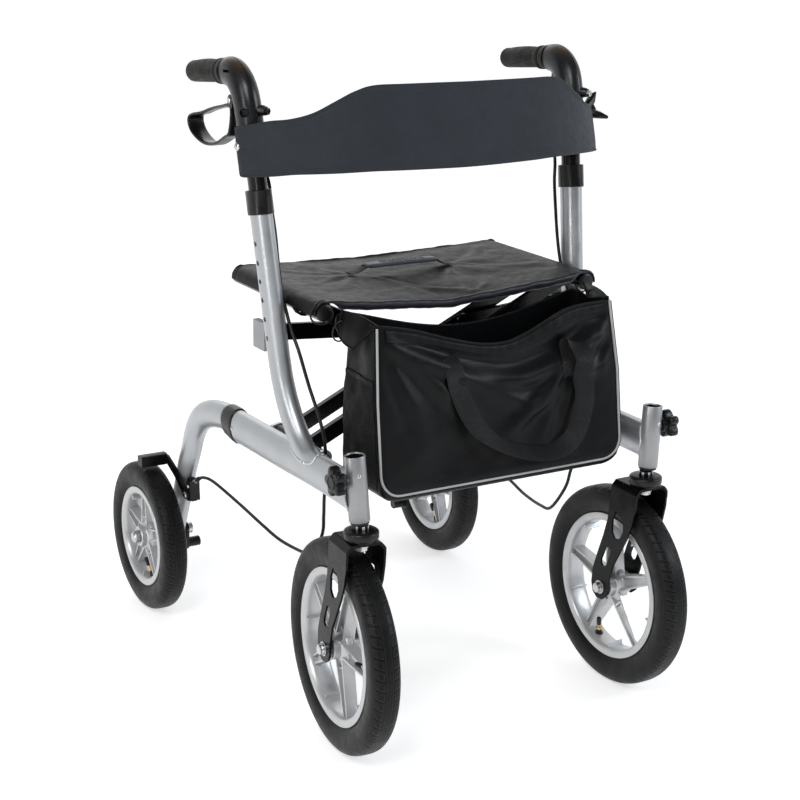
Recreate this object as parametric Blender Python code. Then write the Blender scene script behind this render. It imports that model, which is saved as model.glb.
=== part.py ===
"""Four-wheeled walking frame with a sling seat, a bag, hand brakes and a folding cross.

Metres, Z up. Front is -Y, the user's left is +X. The frame stands on Z = 0.
Lengths in the constants and in the helpers are millimetres; S turns them into metres.
"""
import bpy
import bmesh
import numpy as np
from math import sin, cos, tan, pi, radians, atan2, hypot, sqrt
from mathutils import Vector, Matrix

S = 0.001

# ---------------------------------------------------------------- main dimensions (mm)
PLANE_X = 231.0          # half width of the side frames at height PLANE_Z
PLANE_Z = 152.0
LEAN = 0.05              # outward lean of the side frames, dx/dz
GAP = 0.3                # free gap between neighbouring pieces

UP_A, UP_B, UP_WALL = 14.5, 20.0, 1.8       # upright half axes: across, along
HT_A, HT_B, HT_WALL = 12.3, 17.3, 1.7       # sliding handle tube
UP_TOP = 752.0
UP_SLOPE = 0.165                             # dy/dz of the straight upright
HOLE_Z = (685.0, 659.0, 634.0, 608.5, 582.0)
HOLE_PITCH = 25.0
BUTTON_Z = 556.0
MT_A, MT_B, MT_WALL = 16.0, 26.0, 2.0       # long main tube
RL_A, RL_B, RL_WALL = 15.5, 21.5, 2.0       # rear leg

FRONT_R, FRONT_W, FRONT_RIM = 152.0, 43.0, 111.6
REAR_R, REAR_W, REAR_RIM = 123.2, 41.0, 82.6
SEG = 24                                     # facets round a wheel
CASTER_X, CASTER_Y, TRAIL = 236.0, -338.0, 57.0
CASTER_YAW = {"right": -4.5, "left": 0.6}    # degrees, as it stands
REAR_X, REAR_Y, REAR_Z = 276.75, 309.0, 123.2
HOUSING_LOW = (238.6, -338.0, 355.0)
HOUSING_TOP = (245.0, -334.0, 446.0)
KNOB_Y, KNOB_Z = -338.5, 414.0

PIVOT_X, PIVOT_Z = 217.0, 398.0              # lower pivots of the cross
RAIL_X, RAIL_Z, RAIL_R = 217.0, 603.0, 12.5  # seat rails
RAIL_Y0, RAIL_Y1 = -197.0, 72.0
BAR_H, BAR_T = 22.0, 9.0
BARS_A = (-150.0, -84.0)                     # front faces of the bars of brace A
BARS_B = (-140.5, -74.5)
LINK_U = (236.0, 548.0)                      # link pivot on the bracket, x and z
LINK_F = 0.34                                # place of the link's far end along the upper arm
LINK_H = 24.0
LEVER_PIVOT = (-32.0, 873.0)                 # y, z
LEVER_X = 267.0
ARM_PIVOT = (207.0, 221.0)
SEAT_Z = 616.0
CABLE_R = 2.6

# ---------------------------------------------------------------- scene and materials
for o in list(bpy.data.objects):
    bpy.data.objects.remove(o, do_unlink=True)

MATS = {}


def material(name, rgb, rough, metal=0.0):
    m = bpy.data.materials.new(name)
    m.use_nodes = True
    b = m.node_tree.nodes["Principled BSDF"]
    b.inputs["Base Color"].default_value = (rgb[0], rgb[1], rgb[2], 1.0)
    b.inputs["Roughness"].default_value = rough
    b.inputs["Metallic"].default_value = metal
    m.diffuse_color = (rgb[0], rgb[1], rgb[2], 1.0)
    MATS[name] = m
    return m


material("frame_silver", (0.45, 0.47, 0.50), 0.35, 0.8)
material("housing_grey", (0.38, 0.39, 0.41), 0.4, 0.7)
material("black_tube", (0.02, 0.02, 0.022), 0.3, 0.3)
material("black_plastic", (0.02, 0.02, 0.022), 0.45)
material("grip_rubber", (0.015, 0.015, 0.016), 0.7)
material("tyre_black", (0.018, 0.018, 0.02), 0.8)
material("rim_silver", (0.55, 0.56, 0.57), 0.4, 0.2)
material("fork_black", (0.012, 0.012, 0.013), 0.2)
material("steel", (0.55, 0.55, 0.56), 0.3, 1.0)
material("seat_cloth", (0.035, 0.036, 0.04), 0.7)
material("bag_cloth", (0.012, 0.012, 0.014), 0.8)
material("back_cloth", (0.05, 0.058, 0.07), 0.85)
material("cable_black", (0.012, 0.012, 0.012), 0.5)
material("grey_plastic", (0.5, 0.5, 0.5), 0.5)


# ---------------------------------------------------------------- mesh helpers (mm)
class Body:
    """A closed mesh in millimetres."""

    def __init__(self, verts, faces):
        self.v = [tuple(float(c) for c in p) for p in verts]
        self.f = [tuple(f) for f in faces]


def rings(loops, closed=False):
    """Skin a row of equal loops. closed joins the last loop to the first one."""
    n = len(loops[0])
    v = [p for lp in loops for p in lp]
    f = []
    m = len(loops)
    for i in range(m if closed else m - 1):
        j = (i + 1) % m
        for k in range(n):
            l = (k + 1) % n
            f.append((i * n + k, i * n + l, j * n + l, j * n + k))
    if not closed:
        f.append(tuple(reversed(range(n))))
        f.append(tuple((m - 1) * n + k for k in range(n)))
    return Body(v, f)


def side_point(y, z, w=0.0):
    """Point of the left leaning side plane, w outwards along its normal."""
    c = 1.0 / sqrt(1.0 + LEAN * LEAN)
    return np.array([PLANE_X + LEAN * (z - PLANE_Z) + w * c, y, z - w * LEAN * c])


N_SIDE = np.array([1.0, 0.0, -LEAN]) / sqrt(1.0 + LEAN * LEAN)


def path_frames(pts, normal):
    """Mitre direction in the plane across each path point."""
    pts = [np.array(p, float) for p in pts]
    out = []
    for i, p in enumerate(pts):
        d0 = pts[i] - pts[i - 1] if i else pts[1] - pts[0]
        d1 = pts[i + 1] - pts[i] if i + 1 < len(pts) else d0
        d0 = d0 / np.linalg.norm(d0)
        d1 = d1 / np.linalg.norm(d1)
        t = d0 + d1
        t = t / np.linalg.norm(t)
        b = np.cross(normal, t)
        b = b / np.linalg.norm(b)
        out.append((p, b, 1.0 / max(0.5, float(np.dot(t, d0)))))
    return out


def oval(p, u, w, a, b, n):
    """Loop with half axis a along u and b along w."""
    return [p + u * (a * cos(2 * pi * k / n)) + w * (b * sin(2 * pi * k / n)) for k in range(n)]


def tube(pts, a, b, wall, n=16, normal=None):
    """Open-ended hollow oval tube along a path; a and b may be lists."""
    nv = N_SIDE if normal is None else normal
    fr = path_frames(pts, nv)
    al = a if isinstance(a, (list, tuple)) else [a] * len(pts)
    bl = b if isinstance(b, (list, tuple)) else [b] * len(pts)
    outer = [oval(p, nv, w, x, y * s, n) for (p, w, s), x, y in zip(fr, al, bl)]
    inner = [oval(p, nv, w, x - wall, (y - wall) * s, n) for (p, w, s), x, y in zip(fr, al, bl)]
    return rings(outer + inner[::-1], closed=True)


def rod(pts, a, b, n=16, normal=None):
    nv = N_SIDE if normal is None else normal
    fr = path_frames(pts, nv)
    al = a if isinstance(a, (list, tuple)) else [a] * len(pts)
    bl = b if isinstance(b, (list, tuple)) else [b] * len(pts)
    return rings([oval(p, nv, w, x, y * s, n) for (p, w, s), x, y in zip(fr, al, bl)])


def cyl(p0, p1, r0, r1=None, n=12, turn=0.0):
    r1 = r0 if r1 is None else r1
    p0, p1 = np.array(p0, float), np.array(p1, float)
    d = (p1 - p0) / np.linalg.norm(p1 - p0)
    ref = np.array([0, 0, 1.0]) if abs(d[2]) < 0.9 else np.array([0, 1.0, 0])
    u = np.cross(ref, d)
    u /= np.linalg.norm(u)
    w = np.cross(d, u)
    loops = []
    for p, r in ((p0, r0), (p1, r1)):
        loops.append([p + r * (cos(2 * pi * k / n + turn) * u + sin(2 * pi * k / n + turn) * w)
                      for k in range(n)])
    return rings(loops)


def lathe(p0, d, prof, n=16, turn=0.0):
    """Turned solid: prof is a row of (distance along d, radius) with both ends capped."""
    p0, d = np.array(p0, float), np.array(d, float)
    d /= np.linalg.norm(d)
    ref = np.array([0, 0, 1.0]) if abs(d[2]) < 0.9 else np.array([0, 1.0, 0])
    u = np.cross(ref, d)
    u /= np.linalg.norm(u)
    w = np.cross(d, u)
    return rings([[p0 + s * d + r * (cos(2 * pi * k / n + turn) * u + sin(2 * pi * k / n + turn) * w)
                   for k in range(n)] for s, r in prof])


def lathe_ring(p0, d, prof, n=16, turn=0.0):
    """Turned ring: prof is a closed row of (distance along d, radius)."""
    p0, d = np.array(p0, float), np.array(d, float)
    d /= np.linalg.norm(d)
    ref = np.array([0, 0, 1.0]) if abs(d[2]) < 0.9 else np.array([0, 1.0, 0])
    u = np.cross(ref, d)
    u /= np.linalg.norm(u)
    w = np.cross(d, u)
    loops = [[p0 + s * d + r * (cos(2 * pi * k / n + turn) * u + sin(2 * pi * k / n + turn) * w)
              for k in range(n)] for s, r in prof]
    return rings(loops, closed=True)


def prism(poly, axis, lo, hi):
    """Outline poly in the plane across axis, drawn out from lo to hi."""
    def put(a, b, c):
        return {"x": (c, a, b), "y": (a, c, b), "z": (a, b, c)}[axis]
    n = len(poly)
    v = [put(a, b, lo) for a, b in poly] + [put(a, b, hi) for a, b in poly]
    f = [tuple(range(n)), tuple(reversed(range(n, 2 * n)))]
    for k in range(n):
        l = (k + 1) % n
        f.append((k, k + n, l + n, l))
    return Body(v, f)


def box(x0, x1, y0, y1, z0, z1):
    return prism([(x0, y0), (x1, y0), (x1, y1), (x0, y1)], "z", z0, z1)


def disc(a, b, r, n=16, start=0.0, stop=360.0):
    full = abs(stop - start) >= 360.0
    m = n if full else n + 1
    return [(a + r * cos(radians(start + (stop - start) * k / n)),
             b + r * sin(radians(start + (stop - start) * k / n))) for k in range(m)]


def capsule(a0, b0, a1, b1, r, n=8):
    """Outline of a bar with round ends."""
    t = atan2(b1 - b0, a1 - a0)
    out = []
    for k in range(n + 1):
        q = t + pi / 2 + pi * k / n
        out.append((a0 + r * cos(q), b0 + r * sin(q)))
    for k in range(n + 1):
        q = t - pi / 2 + pi * k / n
        out.append((a1 + r * cos(q), b1 + r * sin(q)))
    return out


def to_mesh(name, body):
    me = bpy.data.meshes.new(name)
    me.from_pydata([(x * S, y * S, z * S) for x, y, z in body.v], [], body.f)
    bm = bmesh.new()
    bm.from_mesh(me)
    bmesh.ops.recalc_face_normals(bm, faces=bm.faces)
    bm.to_mesh(me)
    bm.free()
    return me


def to_object(name, body):
    ob = bpy.data.objects.new(name, to_mesh(name, body))
    bpy.context.scene.collection.objects.link(ob)
    return ob


def combine(name, base, steps):
    """Join or cut bodies one after another and give the mesh back."""
    ob = to_object(name, base)
    for op, body in steps:
        cut = to_object(name + "_tool", body)
        md = ob.modifiers.new("step", "BOOLEAN")
        md.operation = "UNION" if op == "+" else "DIFFERENCE"
        md.solver = "EXACT"
        md.object = cut
        bpy.context.view_layer.update()
        dg = bpy.context.evaluated_depsgraph_get()
        new = bpy.data.meshes.new_from_object(ob.evaluated_get(dg))
        ob.modifiers.clear()
        old = ob.data
        ob.data = new
        bpy.data.meshes.remove(old)
        old = cut.data
        bpy.data.objects.remove(cut, do_unlink=True)
        bpy.data.meshes.remove(old)
    me = ob.data
    bpy.data.objects.remove(ob, do_unlink=True)
    bm = bmesh.new()
    bm.from_mesh(me)
    bmesh.ops.remove_doubles(bm, verts=bm.verts, dist=0.00002)
    bmesh.ops.dissolve_degenerate(bm, edges=bm.edges, dist=0.00002)
    bmesh.ops.recalc_face_normals(bm, faces=bm.faces)
    bm.to_mesh(me)
    bm.free()
    return me


def mirrored(me, name):
    out = me.copy()
    out.name = name
    bm = bmesh.new()
    bm.from_mesh(out)
    for v in bm.verts:
        v.co.x = -v.co.x
    bmesh.ops.reverse_faces(bm, faces=bm.faces)
    bm.to_mesh(out)
    bm.free()
    return out


def place(name, me, origin, mat, yaw=0.0, local=False):
    """Object with its origin at the given point (mm); the mesh is in world metres unless local."""
    o = Vector([c * S for c in origin])
    if not local:
        me.transform(Matrix.Translation(-o))
    me.materials.clear()
    me.materials.append(MATS[mat])
    me.name = name
    ob = bpy.data.objects.new(name, me)
    bpy.context.scene.collection.objects.link(ob)
    ob.location = o
    ob.rotation_euler = (0.0, 0.0, radians(yaw))
    for p in me.polygons:
        p.use_smooth = False
    return ob


def pair(base, me, origin, mat):
    """The left piece and its mirror image on the right."""
    right = mirrored(me, base + "_right")
    place(base + "_left", me, origin, mat)
    place(base + "_right", right, (-origin[0], origin[1], origin[2]), mat)


def mesh_of(name, body):
    return to_mesh(name, body)


def up_y(z):
    """Fore-and-aft place of the straight upright at height z."""
    return -87.0 - UP_SLOPE * (750.0 - z)


# ---------------------------------------------------------------- side frame, left one
def housing_axis(z):
    k = (z - HOUSING_LOW[2]) / (HOUSING_TOP[2] - HOUSING_LOW[2])
    return np.array([HOUSING_LOW[i] + k * (HOUSING_TOP[i] - HOUSING_LOW[i]) for i in range(3)])


MT_PATH = [(20.0, 385.0), (-127.0, 388.3), (-236.0, 391.7), (-331.0, 391.3)]
UP_PATH = [(up_y(UP_TOP), UP_TOP), (up_y(552.0), 552.0), (-126.0, 520.0), (-132.0, 496.0),
           (-143.0, 470.0), (-158.0, 445.0), (-178.0, 421.0), (-205.0, 403.0),
           (-240.0, 397.0), (-270.0, 393.0)]

# upright: oval tube that turns forward and lands on the main tube
upright = tube([side_point(y, z) for y, z in UP_PATH], UP_A, UP_B, UP_WALL, 14)
cuts = [("-", rod([side_point(y, z) for y, z in [(40.0, 384.6)] + MT_PATH[1:3] + [(-345.0, 391.3)]],
                  MT_A + 0.5, MT_B + 0.5, 18))]
for hz in HOLE_Z + (BUTTON_Z,):
    cuts.append(("-", cyl(side_point(up_y(hz), hz, 6.0), side_point(up_y(hz), hz, 22.0), 3.6, n=8)))
pair("upright", combine("upright", upright, cuts), side_point(up_y(UP_TOP), UP_TOP), "frame_silver")

# collar on top of the upright
cp = [side_point(up_y(z), z) for z in (724.0, UP_TOP + GAP, 757.0)]
fr = path_frames(cp, N_SIDE)
col = [oval(fr[0][0], N_SIDE, fr[0][1], 17.4, 23.0, 14),
       oval(fr[2][0], N_SIDE, fr[2][1], 17.2, 22.6, 14),
       oval(fr[2][0], N_SIDE, fr[2][1], HT_A + 0.5, HT_B + 0.5, 14),
       oval(fr[1][0], N_SIDE, fr[1][1], HT_A + 0.5, HT_B + 0.5, 14),
       oval(fr[1][0], N_SIDE, fr[1][1], UP_A + GAP, UP_B + GAP, 14),
       oval(fr[0][0], N_SIDE, fr[0][1], UP_A + GAP, UP_B + GAP, 14)]
pair("upright_collar", mesh_of("collar", rings(col, closed=True)),
     side_point(up_y(757.0), 757.0), "black_plastic")

# main tube, closed against the caster housing, with the two brackets of the cross hinge
main = tube([side_point(y, z) for y, z in MT_PATH], MT_A, MT_B, MT_WALL, 18)
h0, h1 = housing_axis(340.0), housing_axis(460.0)


def bracket_plate(y0, y1):
    xm = PLANE_X + LEAN * (385.0 - PLANE_Z) - MT_A + 1.2
    poly = [(xm, 372.0), (xm + 0.6, 404.0), (PIVOT_X + 6.0, 408.5), (PIVOT_X - 4.0, 409.0),
            (PIVOT_X - 9.5, 404.0), (PIVOT_X - 11.0, 398.0), (PIVOT_X - 9.5, 391.5),
            (PIVOT_X - 3.0, 386.0)]
    return prism(poly, "y", y0, y1)


main_me = combine("main_tube", main, [
    ("-", cyl(h0, h1, 14.75, n=18)),
    ("+", bracket_plate(-200.4, -192.5)),
    ("+", bracket_plate(-57.5, -49.6)),
    ("+", cyl((PIVOT_X, -195.0, PIVOT_Z), (PIVOT_X, -180.0, PIVOT_Z), 4.5, n=12)),
    ("+", cyl((PIVOT_X, -70.0, PIVOT_Z), (PIVOT_X, -55.0, PIVOT_Z), 4.5, n=12)),
])
pair("main_tube", main_me, side_point(20.0, 385.0), "frame_silver")

# housing of the caster: leans with the frame, its bore stands upright
shell = lathe_ring(h0, h1 - h0, [(15.1, 14.25), (106.0, 14.25), (106.0, 11.6), (64.5, 11.6),
                                 (64.5, 3.0), (15.1, 3.0)], 20)
housing_me = combine("caster_housing", shell, [
    ("-", cyl((CASTER_X, CASTER_Y, 345.0), (CASTER_X, CASTER_Y, 398.0), 7.5, n=16)),
    ("-", cyl((CASTER_X + 5.0, KNOB_Y + 3.0, KNOB_Z), (275.0, KNOB_Y + 3.0, KNOB_Z), 4.4, n=12)),
])
pair("caster_housing", housing_me, (CASTER_X, CASTER_Y, 355.0), "housing_grey")

# black sleeve between main tube and rear leg, with a plug into each
sp = [(-4.0, 385.5), (21.4, 385.0), (21.4, 385.0), (25.0, 385.2), (51.0, 387.4), (55.0, 387.9),
      (55.0, 387.9), (70.0, 387.5)]
pts = [side_point(y, z) for y, z in sp]
fr = path_frames([pts[0], pts[1], pts[3], pts[4], pts[5], pts[7]], N_SIDE)
f0, f1, f2, f3, f4, f5 = fr
sleeve = rings([oval(f0[0], N_SIDE, f0[1], MT_A - MT_WALL - 0.7, MT_B - MT_WALL - 0.8, 16),
                oval(f1[0], N_SIDE, f1[1], MT_A - MT_WALL - 0.7, MT_B - MT_WALL - 0.8, 16),
                oval(f1[0], N_SIDE, f1[1], 17.2, 27.6, 16),
                oval(f2[0], N_SIDE, f2[1], 18.0, 28.5, 16),
                oval(f3[0], N_SIDE, f3[1], 17.6, 26.0, 16),
                oval(f4[0], N_SIDE, f4[1], 16.6, 23.5, 16),
                oval(f4[0], N_SIDE, f4[1], 12.6, 17.8, 16),
                oval(f5[0], N_SIDE, f5[1], 12.6, 17.8, 16)])
pair("leg_sleeve", mesh_of("sleeve", sleeve), side_point(21.4, 385.0), "black_plastic")

# rear leg
LEG = [(57.6, 388.0), (75.0, 387.3), (117.0, 379.5), (156.0, 364.0), (182.0, 344.0),
       (200.0, 321.0), (217.0, 291.0), (239.0, 256.0), (253.0, 228.0), (309.5, 123.0),
       (318.0, 107.0)]
leg_a = [15.5, 15.5, 15.5, 15.3, 15.0, 14.6, 14.2, 14.0, 14.0, 14.0, 14.0]
leg_b = [21.5] * 9 + [18.0, 16.0]
leg = tube([side_point(y, z) for y, z in LEG], leg_a, leg_b, RL_WALL, 12)
leg_me = combine("rear_leg", leg, [
    ("-", cyl((205.0, REAR_Y, REAR_Z), (252.0, REAR_Y, REAR_Z), 6.4, n=16))])
pair("rear_leg", leg_me, side_point(57.6, 388.0), "frame_silver")

# anchor of the rear brake: a pivot block on a plate in front of the leg, with its pin
block = prism([(199.5, 243.0), (213.0, 247.0), (219.3, 245.4), (236.6, 211.4), (213.0, 208.5),
               (203.0, 209.0), (198.5, 214.0)], "x", 236.0, 244.0)
anchor_me = combine("brake_anchor", block, [
    ("+", prism([(198.0, 212.0), (213.5, 208.6), (213.5, 240.0), (199.5, 244.5)], "x", 232.5, 249.4)),
    ("+", cyl((240.0, ARM_PIVOT[0], ARM_PIVOT[1]), (258.0, ARM_PIVOT[0], ARM_PIVOT[1]), 3.2, n=12)),
    ("+", cyl((239.6, 198.6, 245.6), (239.6, 212.0, 236.0), 4.4, n=12)),
])
pair("brake_anchor", anchor_me, (240.0, ARM_PIVOT[0], ARM_PIVOT[1]), "black_plastic")

# brake arm with its shoe over the tyre
arm_poly = [(201.0, 226.0), (200.3, 219.5), (203.5, 214.6), (209.0, 213.4), (215.0, 217.0),
            (250.0, 239.0), (281.0, 252.0), (299.0, 252.0), (299.0, 265.0), (279.0, 266.0),
            (244.0, 252.5), (212.0, 230.5), (206.0, 229.5)]
arm_me = combine("brake_arm", prism(arm_poly, "x", 250.3, 254.3), [
    ("+", prism([(281.0, 250.9), (299.0, 250.9), (299.0, 266.0), (296.0, 268.0), (284.0, 268.0),
                 (281.0, 266.0)], "x", 252.0, 297.0)),
    ("-", cyl((248.0, ARM_PIVOT[0], ARM_PIVOT[1]), (257.0, ARM_PIVOT[0], ARM_PIVOT[1]), 3.6, n=12)),
])
pair("brake_arm", arm_me, (252.3, ARM_PIVOT[0], ARM_PIVOT[1]), "black_plastic")

# tipping pedal on the inner end of the rear axle
ped_me = combine("tipping_pedal",
                 prism(capsule(REAR_Y, REAR_Z, REAR_Y, 97.0, 11.0, 6), "x", 209.6, 214.6), [
                     ("+", cyl((188.0, REAR_Y, 97.0), (212.0, REAR_Y, 97.0), 8.0, n=12)),
                     ("-", cyl((205.0, REAR_Y, REAR_Z), (220.0, REAR_Y, REAR_Z), 6.4, n=16)),
                 ])
pair("tipping_pedal", ped_me, (212.0, REAR_Y, REAR_Z), "black_plastic")


# ---------------------------------------------------------------- handle, left one
tube_path = [side_point(up_y(z), z) for z in (546.0, 850.0)]
ht = tube(tube_path, HT_A, HT_B, HT_WALL, 14)
ht_me = combine("handle_tube", ht, [
    ("-", cyl(side_point(up_y(BUTTON_Z), BUTTON_Z, 4.0), side_point(up_y(BUTTON_Z), BUTTON_Z, 16.0),
              3.4, n=12))])
pair("handle_tube", ht_me, side_point(up_y(546.0), 546.0), "black_tube")

# snap button, flush with the handle tube behind the hole of the upright
sb = cyl(side_point(up_y(BUTTON_Z), BUTTON_Z, 7.0), side_point(up_y(BUTTON_Z), BUTTON_Z, 12.2), 3.0, n=12)
pair("snap_button", mesh_of("snap", sb), side_point(up_y(BUTTON_Z), BUTTON_Z, 12.2), "steel")

# elbow casing: socket for the tube below, stub for the grip behind
EL = [(-78.8, 800.0), (-75.5, 818.0), (-70.5, 850.0), (-66.0, 871.0), (-58.0, 889.5),
      (-45.0, 902.5), (-29.0, 909.2), (-12.0, 910.2)]
el_a = [17.0, 18.0, 18.0, 18.0, 18.0, 17.8, 17.4, 16.6]
el_b = [21.0, 22.0, 22.5, 22.8, 23.0, 22.5, 21.8, 20.0]
G0, G1 = np.array([268.8, -12.0, 910.2]), np.array([268.2, 110.0, 898.8])
gd = (G1 - G0) / np.linalg.norm(G1 - G0)
fr = path_frames([side_point(y, z) for y, z in EL], N_SIDE)
outer = [oval(p, N_SIDE, w, a, b, 14) for (p, w, s), a, b in zip(fr, el_a, el_b)]
stub_b = np.cross(N_SIDE, gd)
outer[-1] = oval(fr[-1][0], N_SIDE, stub_b, el_a[-1], el_b[-1], 14)
outer.append(oval(G0, N_SIDE, stub_b, 11.4, 11.4, 14))
outer.append(oval(G0 + gd * 112.0, N_SIDE, stub_b, 11.4, 11.4, 14))
sock = [oval(p, N_SIDE, w, HT_A + 0.6, HT_B + 0.7, 14) for (p, w, s) in
        path_frames([side_point(up_y(z), z) for z in (800.0, 851.0)], N_SIDE)]
sock[0] = oval(fr[0][0], N_SIDE, fr[0][1], HT_A + 0.6, HT_B + 0.7, 14)
elbow = rings([sock[1], sock[0]] + outer)
py, pz = LEVER_PIVOT
lug = prism([(py - 5.2, 896.0), (py - 5.2, pz), (py - 3.7, pz - 3.7), (py, pz - 5.2),
             (py + 3.7, pz - 3.7), (py + 5.2, pz), (py + 5.2, 896.0)], "x", LEVER_X - 6.4, LEVER_X + 6.4)
elbow_me = combine("handle_elbow", elbow, [
    ("+", lug),
    ("+", cyl((LEVER_X - 11.5, py, pz), (LEVER_X + 11.5, py, pz), 2.4, n=12)),
    ("+", cyl(side_point(-84.0, 867.0), side_point(-97.5, 864.6), 6.5, n=12)),
    ("+", cyl(side_point(-94.0, 865.2), side_point(-103.0, 863.6), 5.0, n=12)),
])
pair("handle_elbow", elbow_me, side_point(-70.5, 850.0), "black_plastic")

# grip
grip_prof = [(5.2, 16.4), (9.0, 17.9), (28.0, 18.0), (31.0, 15.6),
             (120.0, 15.4), (123.0, 13.5), (123.0, 6.0), (116.8, 6.0), (116.8, 12.1), (5.2, 12.1)]
grip = lathe_ring(G0 - gd * 4.0, gd, grip_prof, 14)
grip_me = combine("grip", grip, [("+", cyl(G0 + gd * 112.9, G0 + gd * 118.0, 8.0, n=12))])
pair("grip", grip_me, G0, "grip_rubber")

# brake lever: a closed loop of strip with two ears on the pin
LOOP = [(-31.0, 864.0), (8.0, 860.0), (43.0, 852.5), (73.0, 844.0), (98.0, 839.0), (108.0, 833.5),
        (107.5, 824.0), (96.0, 813.5), (73.0, 805.0), (50.0, 802.0), (23.0, 806.5), (-7.0, 819.0),
        (-26.0, 829.5)]


def loop_strip(pts, x0, x1, t):
    m = len(pts)
    loops = []
    for i in range(m):
        p = np.array(pts[i])
        d0 = p - np.array(pts[i - 1])
        d1 = np.array(pts[(i + 1) % m]) - p
        d0 /= np.linalg.norm(d0)
        d1 /= np.linalg.norm(d1)
        tt = d0 + d1
        tt /= np.linalg.norm(tt)
        nn = np.array([-tt[1], tt[0]])
        k = min(1.6, 1.0 / max(0.3, float(np.dot(tt, d0)))) * t / 2
        a, b = p + nn * k, p - nn * k
        loops.append([(x0, a[0], a[1]), (x1, a[0], a[1]), (x1, b[0], b[1]), (x0, b[0], b[1])])
    return rings(loops, closed=True)


ear = [(py + 8.0 * cos(radians(q)), pz + 8.0 * sin(radians(q))) for q in range(-20, 201, 22)]
ear += [(py - 7.5, 863.6), (py + 8.5, 862.6)]
lever_me = combine("brake_lever", loop_strip(LOOP, LEVER_X - 13.0, LEVER_X + 13.0, 4.5), [
    ("+", prism(ear, "x", LEVER_X + 6.9, LEVER_X + 10.9)),
    ("+", prism(ear, "x", LEVER_X - 10.9, LEVER_X - 6.9)),
    ("-", cyl((LEVER_X - 14.0, py, pz), (LEVER_X + 14.0, py, pz), 2.8, n=12)),
])
pair("brake_lever", lever_me, (LEVER_X, py, pz), "black_plastic")

# knob on the outer side of the left casing
KY, KZ = -66.0, 833.0
kx = 283.6
knob = lathe((kx, KY, KZ), (1, 0, 0), [(0.0, 8.0), (5.0, 6.5), (12.0, 6.5), (16.0, 10.0), (27.0, 11.0),
                                       (30.0, 8.0)], 12)
wings = []
for k in range(3):
    q = radians(75.0 + 120.0 * k)
    cy, cz = cos(q), sin(q)
    ty, tz = -sin(q) * 3.2, cos(q) * 3.2
    poly = []
    for s, x, r in ((1, kx + 17.0, 5.0), (1, kx + 21.0, 19.0), (1, kx + 35.5, 26.0), (1, kx + 32.0, 15.0),
                    (1, kx + 28.5, 5.0)):
        poly.append((x, KY + cy * r, KZ + cz * r))
    v = [(x, y + ty, z + tz) for x, y, z in poly] + [(x, y - ty, z - tz) for x, y, z in poly]
    n = 5
    f = [tuple(range(n)), tuple(reversed(range(n, 2 * n)))]
    f += [(a, a + n, (a + 1) % n + n, (a + 1) % n) for a in range(n)]
    wings.append(("+", Body(v, f)))
place("side_knob_left", combine("side_knob", knob, wings), (kx, KY, KZ), "black_plastic")


# ---------------------------------------------------------------- wheels
def wheel_ring(prof, n):
    """prof: closed row of (x, r); the flats of the ring sit at the given radius."""
    k = 1.0 / cos(pi / n)
    loops = []
    for i in range(n):
        a = 2 * pi * (i + 0.5) / n + pi / 2
        loops.append([(x, r * k * cos(a), r * k * sin(a)) for x, r in prof])
    return rings(loops, closed=True)


def tyre(radius, width, rim_r):
    w = width / 2
    half = [(w * 0.52, rim_r - 3.6), (w * 0.66, rim_r + 0.9), (w, rim_r + 22.0),
            (w * 0.79, radius - 3.6), (w * 0.37, radius)]
    prof = half + [(-x, r) for x, r in reversed(half)]
    return to_mesh("tyre", wheel_ring(prof, SEG))


def rim(width, rim_r, hub_r, hub_half, bore):
    w = width / 2
    half = [(w * 0.53, rim_r - 4.1), (w * 0.71, rim_r), (w * 0.79, rim_r), (w * 0.73, rim_r - 8.4)]
    prof = half + [(-x, r) for x, r in reversed(half)]
    star = []
    for k in range(5):
        q = 2 * pi * k / 5 + pi / 2
        for dq, r in ((-0.62, hub_r * 0.92), (-0.09, rim_r - 6.5), (0.09, rim_r - 6.5)):
            star.append((r * cos(q + dq), r * sin(q + dq)))
    spokes = prism(star, "x", -7.0, 7.0)
    return combine("rim", wheel_ring(prof, SEG), [
        ("+", spokes),
        ("+", cyl((-hub_half, 0, 0), (hub_half, 0, 0), hub_r, n=20)),
        ("-", cyl((-hub_half - 5, 0, 0), (hub_half + 5, 0, 0), bore, n=16)),
    ])


def axle(prof, n=14):
    return to_mesh("axle", lathe((0, 0, 0), (1, 0, 0), prof, n))


front_tyre_me, front_rim_me = tyre(FRONT_R, FRONT_W, FRONT_RIM), rim(FRONT_W, FRONT_RIM, 17.0, 20.5, 6.4)
rear_tyre_me, rear_rim_me = tyre(REAR_R, REAR_W, REAR_RIM), rim(REAR_W, REAR_RIM, 17.0, 19.0, 6.4)
FORK_IN, FORK_T = 26.0, 3.2
front_axle_me = axle([(-FORK_IN - FORK_T - 8.5, 6.0), (-FORK_IN - FORK_T - 7.5, 7.6), (-FORK_IN - FORK_T - 0.4, 7.6),
                      (-FORK_IN - FORK_T - 0.4, 5.6), (-FORK_IN + 0.4, 5.6), (-FORK_IN + 0.4, 9.0), (-21.0, 9.0),
                      (-21.0, 5.9), (21.0, 5.9), (21.0, 9.0), (FORK_IN - 0.4, 9.0), (FORK_IN - 0.4, 5.6),
                      (FORK_IN + FORK_T + 0.4, 5.6), (FORK_IN + FORK_T + 0.4, 7.6), (FORK_IN + FORK_T + 7.5, 7.6),
                      (FORK_IN + FORK_T + 8.5, 6.0)], 10)


def copy_of(me):
    return me.copy()


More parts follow.
